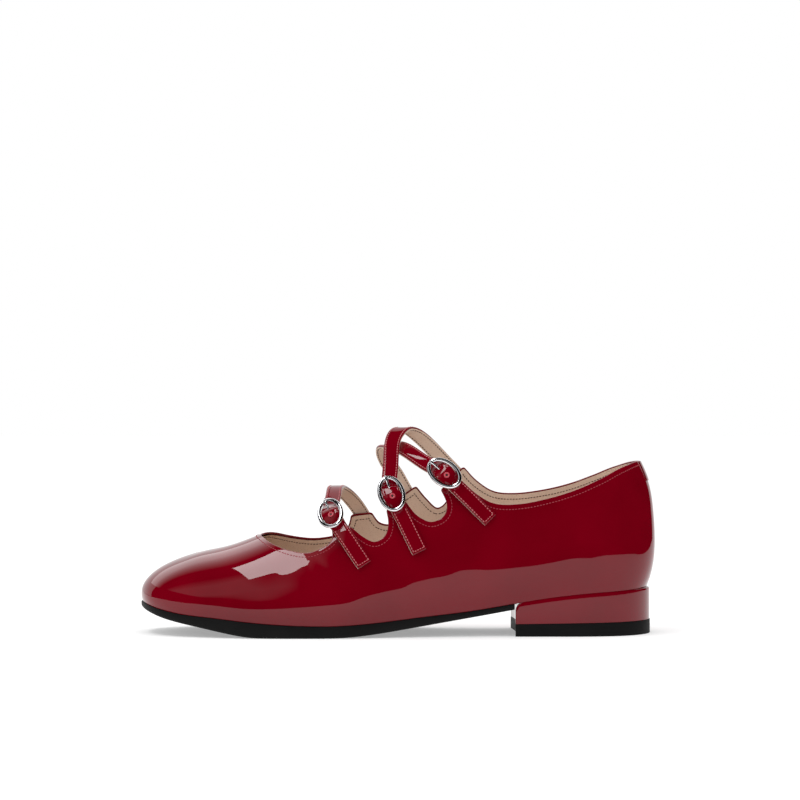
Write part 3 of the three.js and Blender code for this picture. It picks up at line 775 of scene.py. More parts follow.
# %% [markdown]
# ## Sock, outsole, heel and tip
#
# Under the foot a thin leather sock lies on the insole board. The outsole is a thin black plate that
# follows the rocker of the last and ends at the front of the heel. The heel is a low wooden block with the
# same patent leather pasted round it, and a black rubber tip. All four follow the seat edge of the
# last, so each is a short profile carried round that edge: easier to keep even than a sculpted block.


# %% Outsole
SOLE_OUT = 0.5
SOLE_CHAMFER = 1.1
SOLE_GROOVE = 0.35
SOLE_SMOOTH = 35
BREAST_X = 56.0
GAP = 0.3
fine_ways = np.linspace(0, BACK, 4000)
fine_x = np.maximum.accumulate(last["x"](fine_ways))


def way_at(x):
    return np.interp(x, fine_x, fine_ways)


def sole_height(x):
    return np.maximum(underside_curve(x), 0)


def sole_rows(ways, side):
    """Rows from the middle of the top over the edge to the middle of the underside."""
    edge = seat_edge(ways, side)
    way_out = seat_edge(ways, side, 1) - edge
    middle = edge.copy()
    middle[:, 1] = last["mid"](ways)
    top, low = edge[:, 2] - GAP, sole_height(edge[:, 0])
    narrow = np.minimum(last["half"](ways) / 6, 1)
    bend = np.minimum(SOLE_CHAMFER, (top - low) / 2)

    def at(base, out, height):
        points = base + way_out * np.reshape(out + 0 * top, (-1, 1))
        points[:, 2] = height
        return points

    rows = [at(middle, 0, top), at(edge, -4 * narrow, top), at(edge, SOLE_OUT - SOLE_GROOVE, top),
            at(edge, SOLE_OUT - 0.1, top - 0.1), at(edge, SOLE_OUT, top - SOLE_GROOVE)]
    for angle in np.linspace(0, math.pi / 2, 6):
        out = SOLE_OUT - bend * narrow * (1 - math.cos(angle))
        rows.append(at(edge, out, low + bend * (1 - math.sin(angle))))
    rows += [at(edge, -6 * narrow, low), at(middle, 0, low)]
    return np.array(rows)


def fill_ends(piece):
    """Close the open ends of a net with a face each."""
    pick(piece)
    bpy.ops.object.mode_set(mode="EDIT")
    bpy.ops.mesh.select_mode(type="EDGE")
    bpy.ops.mesh.select_all(action="DESELECT")
    bpy.ops.mesh.select_non_manifold()
    bpy.ops.mesh.edge_face_add()
    bpy.ops.mesh.select_all(action="SELECT")
    bpy.ops.mesh.normals_make_consistent(inside=False)
    bpy.ops.object.mode_set(mode="OBJECT")


def smooth_by_angle(piece, degrees):
    pick(piece)
    bpy.ops.object.shade_smooth_by_angle(angle=math.radians(degrees))


def sealed(piece, degrees, reach=POINT_MERGE):
    """A net made into a closed, smooth solid."""
    merge_points(piece, reach)
    fill_ends(piece)
    smooth_by_angle(piece, degrees)
    return piece


sole_ways = np.linspace(0, float(way_at(BREAST_X - GAP)), 170)
outer_rows, inner_rows = (sole_rows(sole_ways, side) for side in (OUTER, INNER))
sole_net = np.concatenate([outer_rows[:, ::-1], inner_rows[:, 1:]], axis=1)
outsole = sealed(net("outsole_rubber", sole_net), SOLE_SMOOTH)

# %% Insole sock
SOCK_THICK = 2.6
SOCK_INSET = 1.9
SOCK_CUP = 1.0
SOCK_SMOOTH = 50


def sock_rows(ways):
    """Rows from the outer edge to the inner one, cupped a little at the edges."""
    a, b = seat_edge(ways, OUTER, -SOCK_INSET), seat_edge(ways, INNER, -SOCK_INSET)
    rows = []
    for share in (*np.linspace(0, 0.06, 4), *np.linspace(0.12, 0.88, 17), *np.linspace(0.94, 1, 4)):
        row = a + (b - a) * share
        side = abs(2 * share - 1)
        row[:, 2] += SOCK_THICK + SOCK_CUP * (side ** 6 - 0.25 * (1 - side ** 2))
        rows.append(row)
    return np.array([a, *rows, b])


insole = net("insole_sock", sock_rows(np.linspace(0, BACK, 150)))
merge_points(insole)
smooth_by_angle(insole, SOCK_SMOOTH)
print("sock points", len(insole.data.vertices))

# %% Heel and tip
LIFT_FRONT, LIFT_BACK = 5.8, 6.8
LIFT_END_X = 125
BREAST_HOLLOW = 1.6
HEEL_CORNER = 3.4
HEEL_WALL = 0.1
LIFT_WALL = 0.35
HEEL_REACH = 1.1
SIDE_CORNER = 1.3
HEEL_SMOOTH = 40
# How far down from the seat or up from the tip each ring of the heel lies, and how far out. The tip's
# rings lie below its top or, the last three, over the floor.
HEEL_TOP = ((0, -1.9), (0.02, -0.95), (0.08, -0.55), (0.2, -0.28), (0.4, -0.1), (0.7, 0.02), (1.2, 0.07),
            (2.2, 0.09), (HEEL_CORNER, HEEL_WALL))
HEEL_FOOT = ((0.45, HEEL_WALL), (0.14, HEEL_WALL - 0.06), (0.03, HEEL_WALL - 0.3))
LIFT_HEAD = ((0, LIFT_WALL - 0.35), (0.06, LIFT_WALL - 0.12), (0.25, LIFT_WALL - 0.05))
LIFT_FOOT = ((0.6, LIFT_WALL), (0.2, LIFT_WALL), (0, LIFT_WALL - 0.3))


def lift_top(x):
    """Height of the tip's top, which falls a little to the front."""
    return LIFT_FRONT + (LIFT_BACK - LIFT_FRONT) * (x - BREAST_X) / (LIFT_END_X - BREAST_X)


def seat_height(x):
    return last["seat"](way_at(x))


def without_ends(line):
    """A line that stops short of the corner at either end."""
    for _ in range(2):
        line = after_reach(line, SIDE_CORNER, 1)[::-1]
    return line


def heel_ring(out, front):
    """The D of the heel seen from above: round the back, rounded corners, hollow breast."""
    ways = np.linspace(float(way_at(front)), BACK, 90)
    outer, inner = seat_edge(ways, OUTER, out)[:, :2], seat_edge(ways, INNER, out)[::-1, :2]
    t = np.linspace(0, 1, 25)[:, None]
    breast = inner[-1] + (outer[0] - inner[-1]) * t
    breast[:, 0] += BREAST_HOLLOW * np.sin(math.pi * t[:, 0])
    sides, breast = without_ends(np.vstack([outer, inner[1:]])), without_ends(breast)
    first = round_corner(sides[-1], inner[-1], breast[0])
    second = round_corner(breast[-1], outer[0], sides[0])
    ring = np.vstack([sides, first, breast, second])
    share = np.maximum((ring[:, 0] - BREAST_X) / (last["x"].ys[-1] - BREAST_X), 0)
    ring[:, 0] += HEEL_REACH * share ** 2
    return ring


def heel_row(out, front, height):
    ring = heel_ring(out, front)
    return np.column_stack([ring, height(ring[:, 0])])


def block(name, rows):
    """Rings of a block joined in a net and closed at both ends."""
    count = min(len(row) for row in rows)
    return sealed(net(name, close(np.array([row[:count] for row in rows]))), HEEL_SMOOTH)


heel_rows = []
for down, out in HEEL_TOP:
    fall = HEEL_CORNER - math.sqrt(HEEL_CORNER ** 2 - (HEEL_CORNER - down) ** 2)
    heel_rows.append(heel_row(out, BREAST_X + fall, lambda x, d=down: seat_height(x) - GAP * 0.6 - d))
for over, out in HEEL_FOOT:
    heel_rows.append(heel_row(out, BREAST_X, lambda x, d=over: lift_top(x) + d))
heel = block("heel_cover", heel_rows)
lift_rows = [heel_row(out, BREAST_X, lambda x, d=down: lift_top(x) - d) for down, out in LIFT_HEAD]
lift_rows += [heel_row(out, BREAST_X, lambda x, z=height: z + 0 * x) for height, out in LIFT_FOOT]
top_lift = block("top_lift_rubber", lift_rows)
print("heel points", len(heel.data.vertices), "tip points", len(top_lift.data.vertices))

# %% [markdown]
# ## Straps
#
# Three narrow straps of folded patent leather come up from the inner side, go over the instep and
# through a buckle, and their tails lie on the quarter. The two rear ones cross once. A strap keeps its
# width however it turns, so each one is a profile with rounded edges carried along a line that is
# given: points over the arch, then points on the last's own skin for the tail. Cloth
# simulation would lose the narrow edges, and a curve with a bevel would twist at the tabs.

# %% Routes of the straps, in millimetres
STRAP_WIDE = 7.5
STRAP_THICK = 1.6
LOOP_THICK = 0.8
LOOP_TOP = GAP + LOOP_THICK
REST = LOOP_TOP + GAP + STRAP_THICK / 2
TAIL_REST = GAP + STRAP_THICK / 2 - 0.15
TAIL_SHARES = (0, 0.15, 0.3, 0.45, 0.6, 0.8, 1)
# arch: x, y, z and the lean of the face, in degrees from upright to the outer side. root: where the
# strap is sewn to the inner tab. bar and tail: the buckle bar and the free end on the outer side.
STRAPS = {
    "front": dict(
        root=(-15.4, 51.8),
        arch=((-18.6, 26.6, 57.6, -78), (-22, 22.6, 62.6, -68), (-26.4, 15, 67.6, -50),
              (-29, 5, 70.2, -18), (-30.6, -6, 69.8, 22), (-31.2, -16, 65.6, 46)),
        bar=(-30.6, 56.1), tail=(-15.6, 34.4)),
    "middle": dict(
        root=(32.8, 71.8),
        arch=((28.4, 18.6, 77, -80), (23.4, 15.2, 82.2, -76), (16.4, 10.4, 89.6, -66),
              (9.6, 5.2, 95.8, -46), (3.2, -0.6, 98.8, -3), (-0.8, -6.8, 96.6, 42),
              (-2.8, -12.8, 91.2, 60), (-3.4, -19.4, 81.4, 69)),
        bar=(-2.5, 66.3), tail=(10.4, 40.4)),
    "rear": dict(
        root=(7.4, 62.4),
        arch=((3.4, 22, 68.6, -80), (-0.4, 20.6, 75.4, -76), (-4.8, 17, 82, -64),
              (-7, 10.6, 87.4, -40), (-5.4, 2, 90.4, 8), (0.6, -6.4, 90.2, 50),
              (7, -13.4, 86.8, 64), (14, -20.8, 82.2, 68)),
        bar=(22.5, 76.3), tail=(44.2, 55.4)),
}
ROOT_LIFT = 0.95


def unit(vectors):
    return vectors / np.linalg.norm(vectors, axis=-1, keepdims=True)


def blend_in(share, low, high):
    t = np.clip((share - low) / (high - low), 0, 1)
    return t * t * (3 - 2 * t)


class Route:
    """The middle line of a strap, measured in millimetres from its buckle bar."""

    def __init__(self, root, arch, bar, tail):
        arch = np.array(arch, float)
        lean = np.radians(arch[:, 3])
        out = np.column_stack([0 * lean, -np.sin(lean), np.cos(lean)])
        way, rise = skin_find([root[0]], [root[1]], INNER)
        root_out = leather_normal(way, rise, INNER)
        root_point = leather(way, rise, INNER) + root_out * ROOT_LIFT
        shares = np.array(TAIL_SHARES)
        ways, rises = skin_find(bar[0] + (tail[0] - bar[0]) * shares,
                                bar[1] + (tail[1] - bar[1]) * shares, OUTER)
        normals = leather_normal(ways, rises, OUTER)
        lift = REST + (TAIL_REST - REST) * blend_in(shares, 0.4, 0.85)
        tail_points = leather(ways, rises, OUTER) + normals * lift[:, None]
        points = np.vstack([root_point, arch[:, :3], tail_points])
        outs = np.vstack([root_out, out, normals])
        marks = np.concatenate([[0], np.cumsum(np.linalg.norm(np.diff(points, axis=0), axis=1))])
        marks -= marks[len(arch) + 1]
        self.start, self.end = marks[0], marks[-1]
        self.lines = [Smooth(marks, column, "straight") for column in points.T]
        self.outs = [Smooth(marks, column, "straight") for column in outs.T]

    def frames(self, distances):
        distances = np.asarray(distances, float)
        point = np.stack([line(distances) for line in self.lines], axis=-1)
        along = unit(np.stack([line.slope(distances) for line in self.lines], axis=-1))
        out = np.stack([line(distances) for line in self.outs], axis=-1)
        across = unit(np.cross(along, out))
        return point, along, unit(np.cross(across, along)), across


routes = {name: Route(**spec) for name, spec in STRAPS.items()}
for name, route in routes.items():
    print("strap", name, "length", round(route.end - route.start, 1), "mm")

# %% The profile of a strap
DOME = 2.1
DOME_LONG = 8.2
DOME_SWELL = 0.6
STRAP_EDGE = 0.55
STRAP_CROWN = 0.12
STRAP_JOINT = -0.25
STITCH_DIP = 0.1
ROW_SHARE = 0.76
BAND_MERGE = 0.005 * MM
STRAP_TIP = ((0, 0.45), (0.1, 0.2), (0.3, 0.05), (0.6, 0))
STRAP_STEP = 0.7
STRAP_SMOOTH = 50


def strap_profile(half_wide, half_thick, edge=STRAP_EDGE):
    """Closed profile as (across, out) pairs: patent on top, thinner lining below, a groove between."""
    joint = STRAP_JOINT * half_thick
    low = edge * 0.5
    pairs = []

    def bend(sign, at_out, radius, start, stop, steps):
        for angle in np.radians(np.linspace(start, stop, steps)):
            pairs.append((sign * (half_wide - radius) + radius * math.cos(angle),
                          at_out + radius * math.sin(angle)))

    bend(1, half_thick - edge, edge, 0, 90, 6)
    for share in (0.84, ROW_SHARE, 0.68, 0.5, 0.25, 0, -0.25, -0.5, -0.68, -ROW_SHARE, -0.84):
        lift = STRAP_CROWN * (1 - share ** 2)
        lift -= STITCH_DIP * math.exp(-((abs(share) - ROW_SHARE) / 0.06) ** 2)
        pairs.append((share * half_wide, half_thick + lift))
    bend(-1, half_thick - edge, edge, 90, 180, 6)
    pairs += [(-half_wide + 0.08, joint + 0.1), (-half_wide + 0.3, joint)]
    bend(-1, -half_thick + low, low, 180, 270, 5)
    pairs += [(share * half_wide, -half_thick) for share in (-0.5, 0, 0.5)]
    bend(1, -half_thick + low, low, -90, 0, 5)
    pairs += [(half_wide - 0.3, joint), (half_wide - 0.08, joint + 0.1)]
    return np.array(pairs)


def dome(distances, height=DOME):
    return height * (1 - np.minimum(np.abs(distances) / DOME_LONG, 1) ** 2) ** 2


def strap_band(name, route):
    """A strap with its dome over the bar and soft square ends."""
    near = [(route.start + step, shrink) for step, shrink in STRAP_TIP]
    far = [(route.end - step, shrink) for step, shrink in reversed(STRAP_TIP)]
    clear = 2 * STRAP_TIP[-1][0]
    count = int((route.end - route.start) / STRAP_STEP)
    middle = np.linspace(route.start + clear, route.end - clear, count)
    spots = [*near, *[(distance, 0) for distance in middle], *far]
    distances = np.array([distance for distance, _ in spots])
    point, along, out, across = route.frames(distances)
    rise, swell = dome(distances), dome(distances, DOME_SWELL)
    rings, layers = [], []
    for k, (_, shrink) in enumerate(spots):
        pairs = strap_profile(STRAP_WIDE / 2 - shrink + swell[k], STRAP_THICK / 2 - shrink,
                              STRAP_EDGE * (1 - shrink))
        rings.append(point[k] + across[k] * pairs[:, :1] + out[k] * (pairs[:, 1:] + rise[k]))
        layers.append(np.column_stack([pairs, np.zeros(len(pairs))]))
    piece = net(name, close(np.array(rings)), close(np.array(layers)), "layer")
    return sealed(piece, STRAP_SMOOTH, BAND_MERGE)


straps = {name: strap_band(f"strap_{name}_leather", route) for name, route in routes.items()}
print("strap points", {name: len(piece.data.vertices) for name, piece in straps.items()})

# %% [markdown]
# ## Buckles
#
# Each buckle is a polished oval wire with a bar across its middle, and a thin tongue pin that comes
# out of the strap behind the bar and lies on the upper end of the oval. The oval is a torus pressed
# to shape, and the bar and the pin are rings of points carried along a bent line. A torus keeps the
# wire's round section all the way, which is what makes the long bright lines of polished metal.

# %% Buckle sizes and its place on a strap
WIRE = 1.0
WIRE_FLAT = 0.8
BAR = 0.65
PIN = 0.55
BUCKLE_LONG, BUCKLE_WIDE = 8.6, 5.5
TORUS = 10
METAL_SMOOTH = 60
BAR_UP = DOME - STRAP_THICK / 2 - GAP - BAR
OVAL_UP = STRAP_THICK / 2 + GAP + WIRE_FLAT + 0.45


def buckle_place(route):
    """Middle and directions of a buckle: along the strap, out of the shoe, across the strap."""
    points, _, outs, _ = route.frames([-BUCKLE_LONG, 0, BUCKLE_LONG])
    along = unit(points[2] - points[0])
    across = unit(np.cross(along, outs[1]))
    return points[1], along, unit(np.cross(across, along)), across


def put(piece, place):
    """Move a mesh made flat (X along, Y across, Z out, in millimetres) to its buckle."""
    point, along, out, across = place
    flat = read_points(piece)
    lay(piece, (point + flat[:, :1] * along + flat[:, 1:2] * across + flat[:, 2:] * out) * MM)


def oval_wire():
    deselect()
    bpy.ops.mesh.primitive_torus_add(major_segments=96, minor_segments=20, major_radius=TORUS,
                                     minor_radius=1)
    wire = bpy.context.object
    flat = read_points(wire)
    angle = np.arctan2(flat[:, 1], flat[:, 0])
    reach = np.hypot(flat[:, 0], flat[:, 1]) - TORUS
    way = unit(np.column_stack([np.cos(angle) / BUCKLE_LONG, np.sin(angle) / BUCKLE_WIDE]))
    middle = np.column_stack([np.cos(angle) * BUCKLE_LONG, np.sin(angle) * BUCKLE_WIDE])
    spots = middle + way * (reach * WIRE)[:, None]
    lay(wire, np.column_stack([spots, OVAL_UP + flat[:, 2] * WIRE_FLAT]))
    return wire


def bent_rod(spots, radius, sides=14):
    """A rod through (along, across, out, thickness) spots, round at both ends."""
    spots = np.array(spots, float)
    marks = np.concatenate([[0], np.cumsum(np.linalg.norm(np.diff(spots[:, :3], axis=0), axis=1))])
    lines = [Smooth(marks, column, "straight") for column in spots.T]
    shares = np.concatenate([[0, 0.012, 0.04], np.linspace(0.08, 0.92, 22), [0.96, 0.988, 1]])
    tips = np.minimum(1, np.sqrt(np.clip(1 - (1 - np.minimum(shares, 1 - shares) / 0.05) ** 2, 0.03, 1)))
    tips[(shares > 0.05) & (shares < 0.95)] = 1
    middle = np.column_stack([line(shares * marks[-1]) for line in lines])
    run = unit(np.gradient(middle[:, :3], axis=0))
    side = unit(np.cross(run, (0.3, 0.2, 1.0)))
    other = np.cross(run, side)
    angle = np.linspace(0, 2 * math.pi, sides, endpoint=False)[:, None]
    rings = [middle[k, :3] + (side[k] * np.cos(angle) + other[k] * np.sin(angle))
             * radius * middle[k, 3] * tips[k] for k in range(len(shares))]
    rod = net("rod", close(np.array(rings)) / MM)
    merge_points(rod, 0.002)
    fill_ends(rod)
    return rod


def buckle(name, route):
    """The oval with its bar, which dips at both ends to pass under the strap's dome."""
    end, dip = BUCKLE_WIDE - 0.1, BAR_UP + 0.1
    bar = bent_rod(((0, -end, OVAL_UP, 1), (0, -end * 0.9, dip, 1), (0, 0, BAR_UP, 1),
                    (0, end * 0.9, dip, 1), (0, end, OVAL_UP, 1)), BAR)
    frame_piece = join(oval_wire(), bar)
    frame_piece.name = f"buckle_{name}_metal"
    put(frame_piece, buckle_place(route))
    smooth_by_angle(frame_piece, METAL_SMOOTH)
    return frame_piece


def prong(name, route):
    """The tongue pin, from the strap's dome behind the bar to the upper end of the oval."""
    over = DOME * 0.6 + STRAP_THICK / 2
    rest = OVAL_UP + WIRE_FLAT + PIN * 0.6
    pin = bent_rod(((-2.6, 0, over - 0.9, 0.8), (-3.4, 0, over + 0.1, 0.85), (-5.2, 0, over + 0.7, 0.95),
                    (-7.2, 0, rest - 0.1, 1.1), (-BUCKLE_LONG - 0.7, 0, rest - 0.1, 1.15)), PIN)
    pin.name = f"prong_{name}_metal"
    put(pin, buckle_place(route))
    smooth_by_angle(pin, METAL_SMOOTH)
    return pin


buckles = {name: buckle(name, route) for name, route in routes.items()}
prongs = {name: prong(name, route) for name, route in routes.items()}
print("buckle points", len(buckles["front"].data.vertices))

# %% Leather loops that hold the buckles
LOOP_WIDE = 5.0
LOOP_EDGE = 0.3
LOOP_FROM, LOOP_TO = 0.03, 0.38
LOOP_LIFT = 0.1


def loop_band(name, spec):
    """The short band round the bar, seen between the buckle and the tab."""
    (bar_x, bar_z), (tail_x, tail_z) = spec["bar"], spec["tail"]
    shares = np.linspace(LOOP_FROM, LOOP_TO, 12)
    ways, rises = skin_find(bar_x + (tail_x - bar_x) * shares, bar_z + (tail_z - bar_z) * shares, OUTER)
    base, normal = leather(ways, rises, OUTER), leather_normal(ways, rises, OUTER)
    run = unit(np.gradient(base, axis=0))
    across = unit(np.cross(run, normal))
    pairs = strap_profile(LOOP_WIDE / 2, LOOP_THICK / 2, LOOP_EDGE)
    height = LOOP_LIFT + LOOP_THICK / 2
    rings = [base[k] + across[k] * pairs[:, :1] + normal[k] * (pairs[:, 1:] + height)
             for k in range(len(shares))]
    return sealed(net(f"loop_{name}_leather", close(np.array(rings))), STRAP_SMOOTH, BAND_MERGE)


loops = {name: loop_band(name, spec) for name, spec in STRAPS.items()}
print("loop points", {name: len(band.data.vertices) for name, band in loops.items()})

# %% [markdown]
# ## Stitches, punch rings and back tab
#
# A stitch is a short bead of thread that dips into the leather at both ends. One bead is pressed from
# a sphere, and its copies are laid in rows as one mesh: hundreds of them would be slow as separate
# pieces, and a printed row wouldn't catch the light. A row that follows an edge is measured on the
# leather itself, so it stays at the same distance from the edge round every tab.


# %% One small mesh, laid many times
def scatter(name, template, points, along, out):
    """Copies of a small mesh (X along, Z out, in millimetres), joined in one piece."""
    shape = read_points(template)
    faces = [face.vertices[:] for face in template.data.polygons]
    bpy.data.objects.remove(template)
    out = unit(out - along * np.einsum("ij,ij->i", out, along)[:, None])
    across = np.cross(out, along)
    spots = (points[:, None] + shape[:, :1] * along[:, None] + shape[:, 1:2] * across[:, None]
             + shape[:, 2:] * out[:, None])
    moved = [tuple(v + k * len(shape) for v in face) for k in range(len(points)) for face in faces]
    mesh = bpy.data.meshes.new(name)
    mesh.from_pydata((spots.reshape(-1, 3) * MM).tolist(), [], moved)
    mesh.shade_smooth()
    piece = bpy.data.objects.new(name, mesh)
    scene.collection.objects.link(piece)
    return piece


STITCH_LONG, STITCH_WIDE, STITCH_HIGH = 1.15, 0.48, 0.42
STITCH_STEP = 1.5


def bead():
    deselect()
    bpy.ops.mesh.primitive_uv_sphere_add(segments=8, ring_count=6, radius=0.5)
    piece = bpy.context.object
    lay(piece, read_points(piece)[:, (2, 0, 1)] * (STITCH_LONG, STITCH_WIDE, STITCH_HIGH))
    return piece


def spaced(points, out, step=STITCH_STEP):
    """Places every step along a fine line of points, with the way along it. Jumps aren't counted."""
    gaps = np.linalg.norm(np.diff(points, axis=0), axis=1)
    marks = np.concatenate([[0], np.cumsum(np.where(gaps > step / 2, 0, gaps))])
    picked = np.searchsorted(marks, np.arange(step / 2, marks[-1], step))
    picked = picked[(picked > 0) & (picked < len(points) - 1)]
    return points[picked], unit(points[picked + 1] - points[picked - 1]), out[picked]


def stitch_row(name, parts):
    points, along, out = (np.vstack(part) for part in zip(*parts))
    return scatter(name, bead(), points, along, out)


# %% Rows along the opening
ROW_OUTSIDE, ROW_INSIDE = 1.9, 2.4
THREAD_PROUD = 0.02
CLOSE = 0.94


def slide(ways, rises, side, push):
    """Move spots over the leather by a push in millimetres."""
    here = leather(ways, rises, side)
    by_way = (leather(ways + WAY_STEP, rises, side) - here) / WAY_STEP
    by_rise = (here - leather(ways, rises - RISE_STEP, side)) / RISE_STEP
    pairs = (by_way, by_way), (by_way, by_rise), (by_rise, by_rise)
    aa, ab, bb = ((u * v).sum(axis=-1) for u, v in pairs)
    pa, pb = ((push * v).sum(axis=-1) for v in (by_way, by_rise))
    det = aa * bb - ab * ab
    return ways + (pa * bb - pb * ab) / det, np.minimum(rises + (pb * aa - pa * ab) / det, 1)


def opening_row(side, reach, lift, turn):
    """Stitches a reach below the opening of one side, on the face at a lift."""
    line = cut_lines[side]
    spots = np.linspace(0, len(line) - 1, 6000)
    ways, rises = (np.interp(spots, np.arange(len(line)), column) for column in line.T)
    edge = leather(ways, rises, side)
    normal = leather_normal(ways, rises, side)
    below = unit(np.cross(normal, np.gradient(edge, axis=0)))
    below *= -np.sign(below[:, 2].mean())
    ways, rises = slide(ways, rises, side, below * reach)
    row = leather(ways, rises, side)
    keep = [k for k in range(0, len(row), 2)
            if np.linalg.norm(edge - row[k], axis=1).min() > reach * CLOSE]
    ways, rises = ways[keep], rises[keep]
    return spaced(leather(ways, rises, side, lift), leather_normal(ways, rises, side) * turn)


outside_rows, inside_rows = (
    stitch_row(name, [opening_row(side, reach, lift, turn) for side in (OUTER, INNER)])
    for name, reach, lift, turn in (("stitches_outside_thread", ROW_OUTSIDE, THREAD_PROUD, 1),
                                    ("stitches_inside_thread", ROW_INSIDE, LINING_LIFT - THREAD_PROUD, -1)))
print("stitch faces", len(outside_rows.data.polygons), len(inside_rows.data.polygons))

# %% Rows on the straps
ROW_START, ROW_END = 1.5, 1.3
TAIL_STEP = 1.3
TAIL_POINTS = 60
ROW_UP = STRAP_THICK / 2 + STRAP_CROWN * (1 - ROW_SHARE ** 2) - STITCH_DIP + 0.05
ROW_UNDER = -STRAP_THICK / 2 - 0.03


def strap_rows(route, up, under):
    """Both long rows and the row across the tail, on the top or the underside of a strap."""
    near, far = route.start + ROW_START, route.end - ROW_END
    parts = []
    for sign in (-1, 1):
        stretches = ((near, far),) if under else ((near, -BUCKLE_LONG), (BUCKLE_LONG, far))
        for first, final in stretches:
            distances = np.arange(first, final, 0.1)
            point, _, out, across = route.frames(distances)
            height = np.full(len(distances), up) if under else up + dome(distances)
            row = point + across * (sign * ROW_SHARE * STRAP_WIDE / 2) + out * height[:, None]
            parts.append(spaced(row, -out if under else out))
    point, _, out, across = (part[0] for part in route.frames([far]))
    shares = np.linspace(-ROW_SHARE, ROW_SHARE, TAIL_POINTS)[:, None]
    row = point + across * shares * STRAP_WIDE / 2 + out * up
    parts.append(spaced(row, np.tile(-out if under else out, (TAIL_POINTS, 1)), TAIL_STEP))
    return parts


top_rows, under_rows = (
    stitch_row(name, [part for route in routes.values() for part in strap_rows(route, up, under)])
    for name, up, under in (("stitches_strap_thread", ROW_UP, False),
                            ("stitches_strap_lining_thread", ROW_UNDER, True)))
print("stitch faces on the straps", len(top_rows.data.polygons), len(under_rows.data.polygons))

# %% Punch rings in the domes
RING_AT = 1.4
RING_BIG, RING_SMALL = 1.0, 0.42
RING_HOLE = 0.72
HOLE_FLAT = 0.25


def ring_places():
    point, along, out, _ = (np.vstack(part) for part in
                            zip(*(route.frames([RING_AT]) for route in routes.values())))
    return point + out * (STRAP_THICK / 2 + STRAP_CROWN + dome(RING_AT)), along, out


def ring_template():
    deselect()
    bpy.ops.mesh.primitive_torus_add(major_segments=40, minor_segments=14, major_radius=RING_BIG,
                                     minor_radius=RING_SMALL)
    return bpy.context.object


def hole_shade_template():
    deselect()
    bpy.ops.mesh.primitive_uv_sphere_add(segments=24, ring_count=10, radius=RING_HOLE)
    piece = bpy.context.object
    lay(piece, read_points(piece) * (1, 1, HOLE_FLAT))
    return piece


# The rings are dressed in a lighter pink patent, a painted highlight on their embossed edge.
punch_rings = scatter("punch_rings_leather", ring_template(), *ring_places())
# Dark flattened discs in the middle of the rings are painted shade for the inside of a hole that the strap
# doesn't have.
hole_shades = scatter("punch_hole_painted_shade", hole_shade_template(), *ring_places())
print("punch rings on", len(routes), "straps")

# %% Back tab
TAB_HALF, TAB_LOW = 6.5, 9.5
TAB_PROUD = 0.5
TAB_SUNK = 0.05
TAB_ROUND = 0.35


def back_tab():
    """The short tab that covers the back seam at the collar, laid over both sides."""
    ends = np.array((0, 0.02, 0.07, 0.16, TAB_ROUND))
    across = np.concatenate([ends - TAB_HALF, np.linspace(-TAB_HALF + 1, TAB_HALF - 1, 23),
                             TAB_HALF - ends[::-1]])
    down = np.concatenate([np.linspace(0.2, TAB_LOW - 1, 14), TAB_LOW - ends[::-1]])
    across, down = np.meshgrid(across, down)
    inset = np.minimum(TAB_HALF - np.abs(across), TAB_LOW - down)
    lift = TAB_PROUD * np.sqrt(1 - (1 - np.clip(inset / TAB_ROUND, 0, 1)) ** 2) - TAB_SUNK
    ways, rises = BACK - np.abs(across), rise_at_back(BACK_TOP - down)
    inner_half = across[..., None] > 0
    points, normals = (np.where(inner_half, make(ways, rises, INNER), make(ways, rises, OUTER))
                       for make in (leather, leather_normal))
    return net("back_tab_leather", points + normals * lift[..., None], normals)


tab = back_tab()
print("tab faces turned", face_out(tab))

# %% [markdown]
# ## Finishes
#
# Patent leather is a coloured base under a thick clear lacquer. The base is a deep red, a little uneven,
# and the lacquer is a coat that is almost a mirror. The lining is pale leather with fine pores, the
# metal is polished and the rubber is matt. Each finish is written as arithmetic on Object coordinates,
# so that a pattern keeps its size in millimetres wherever the piece lies.


# %% A socket that can be added and multiplied
class Wire:
    """A number on its way between nodes, with plain arithmetic."""

    def __init__(self, finish, socket):
        self.finish, self.socket = finish, socket

    def maths(self, operation, a, b):
        return self.finish.node("ShaderNodeMath", {"operation": operation}, {0: a, 1: b})

    def __add__(self, other):
        return self.maths("ADD", self, other)

    def __rsub__(self, other):
        return self.maths("SUBTRACT", other, self)

    def __mul__(self, other):
        return self.maths("MULTIPLY", self, other)

    __radd__ = __add__
    __rmul__ = __mul__


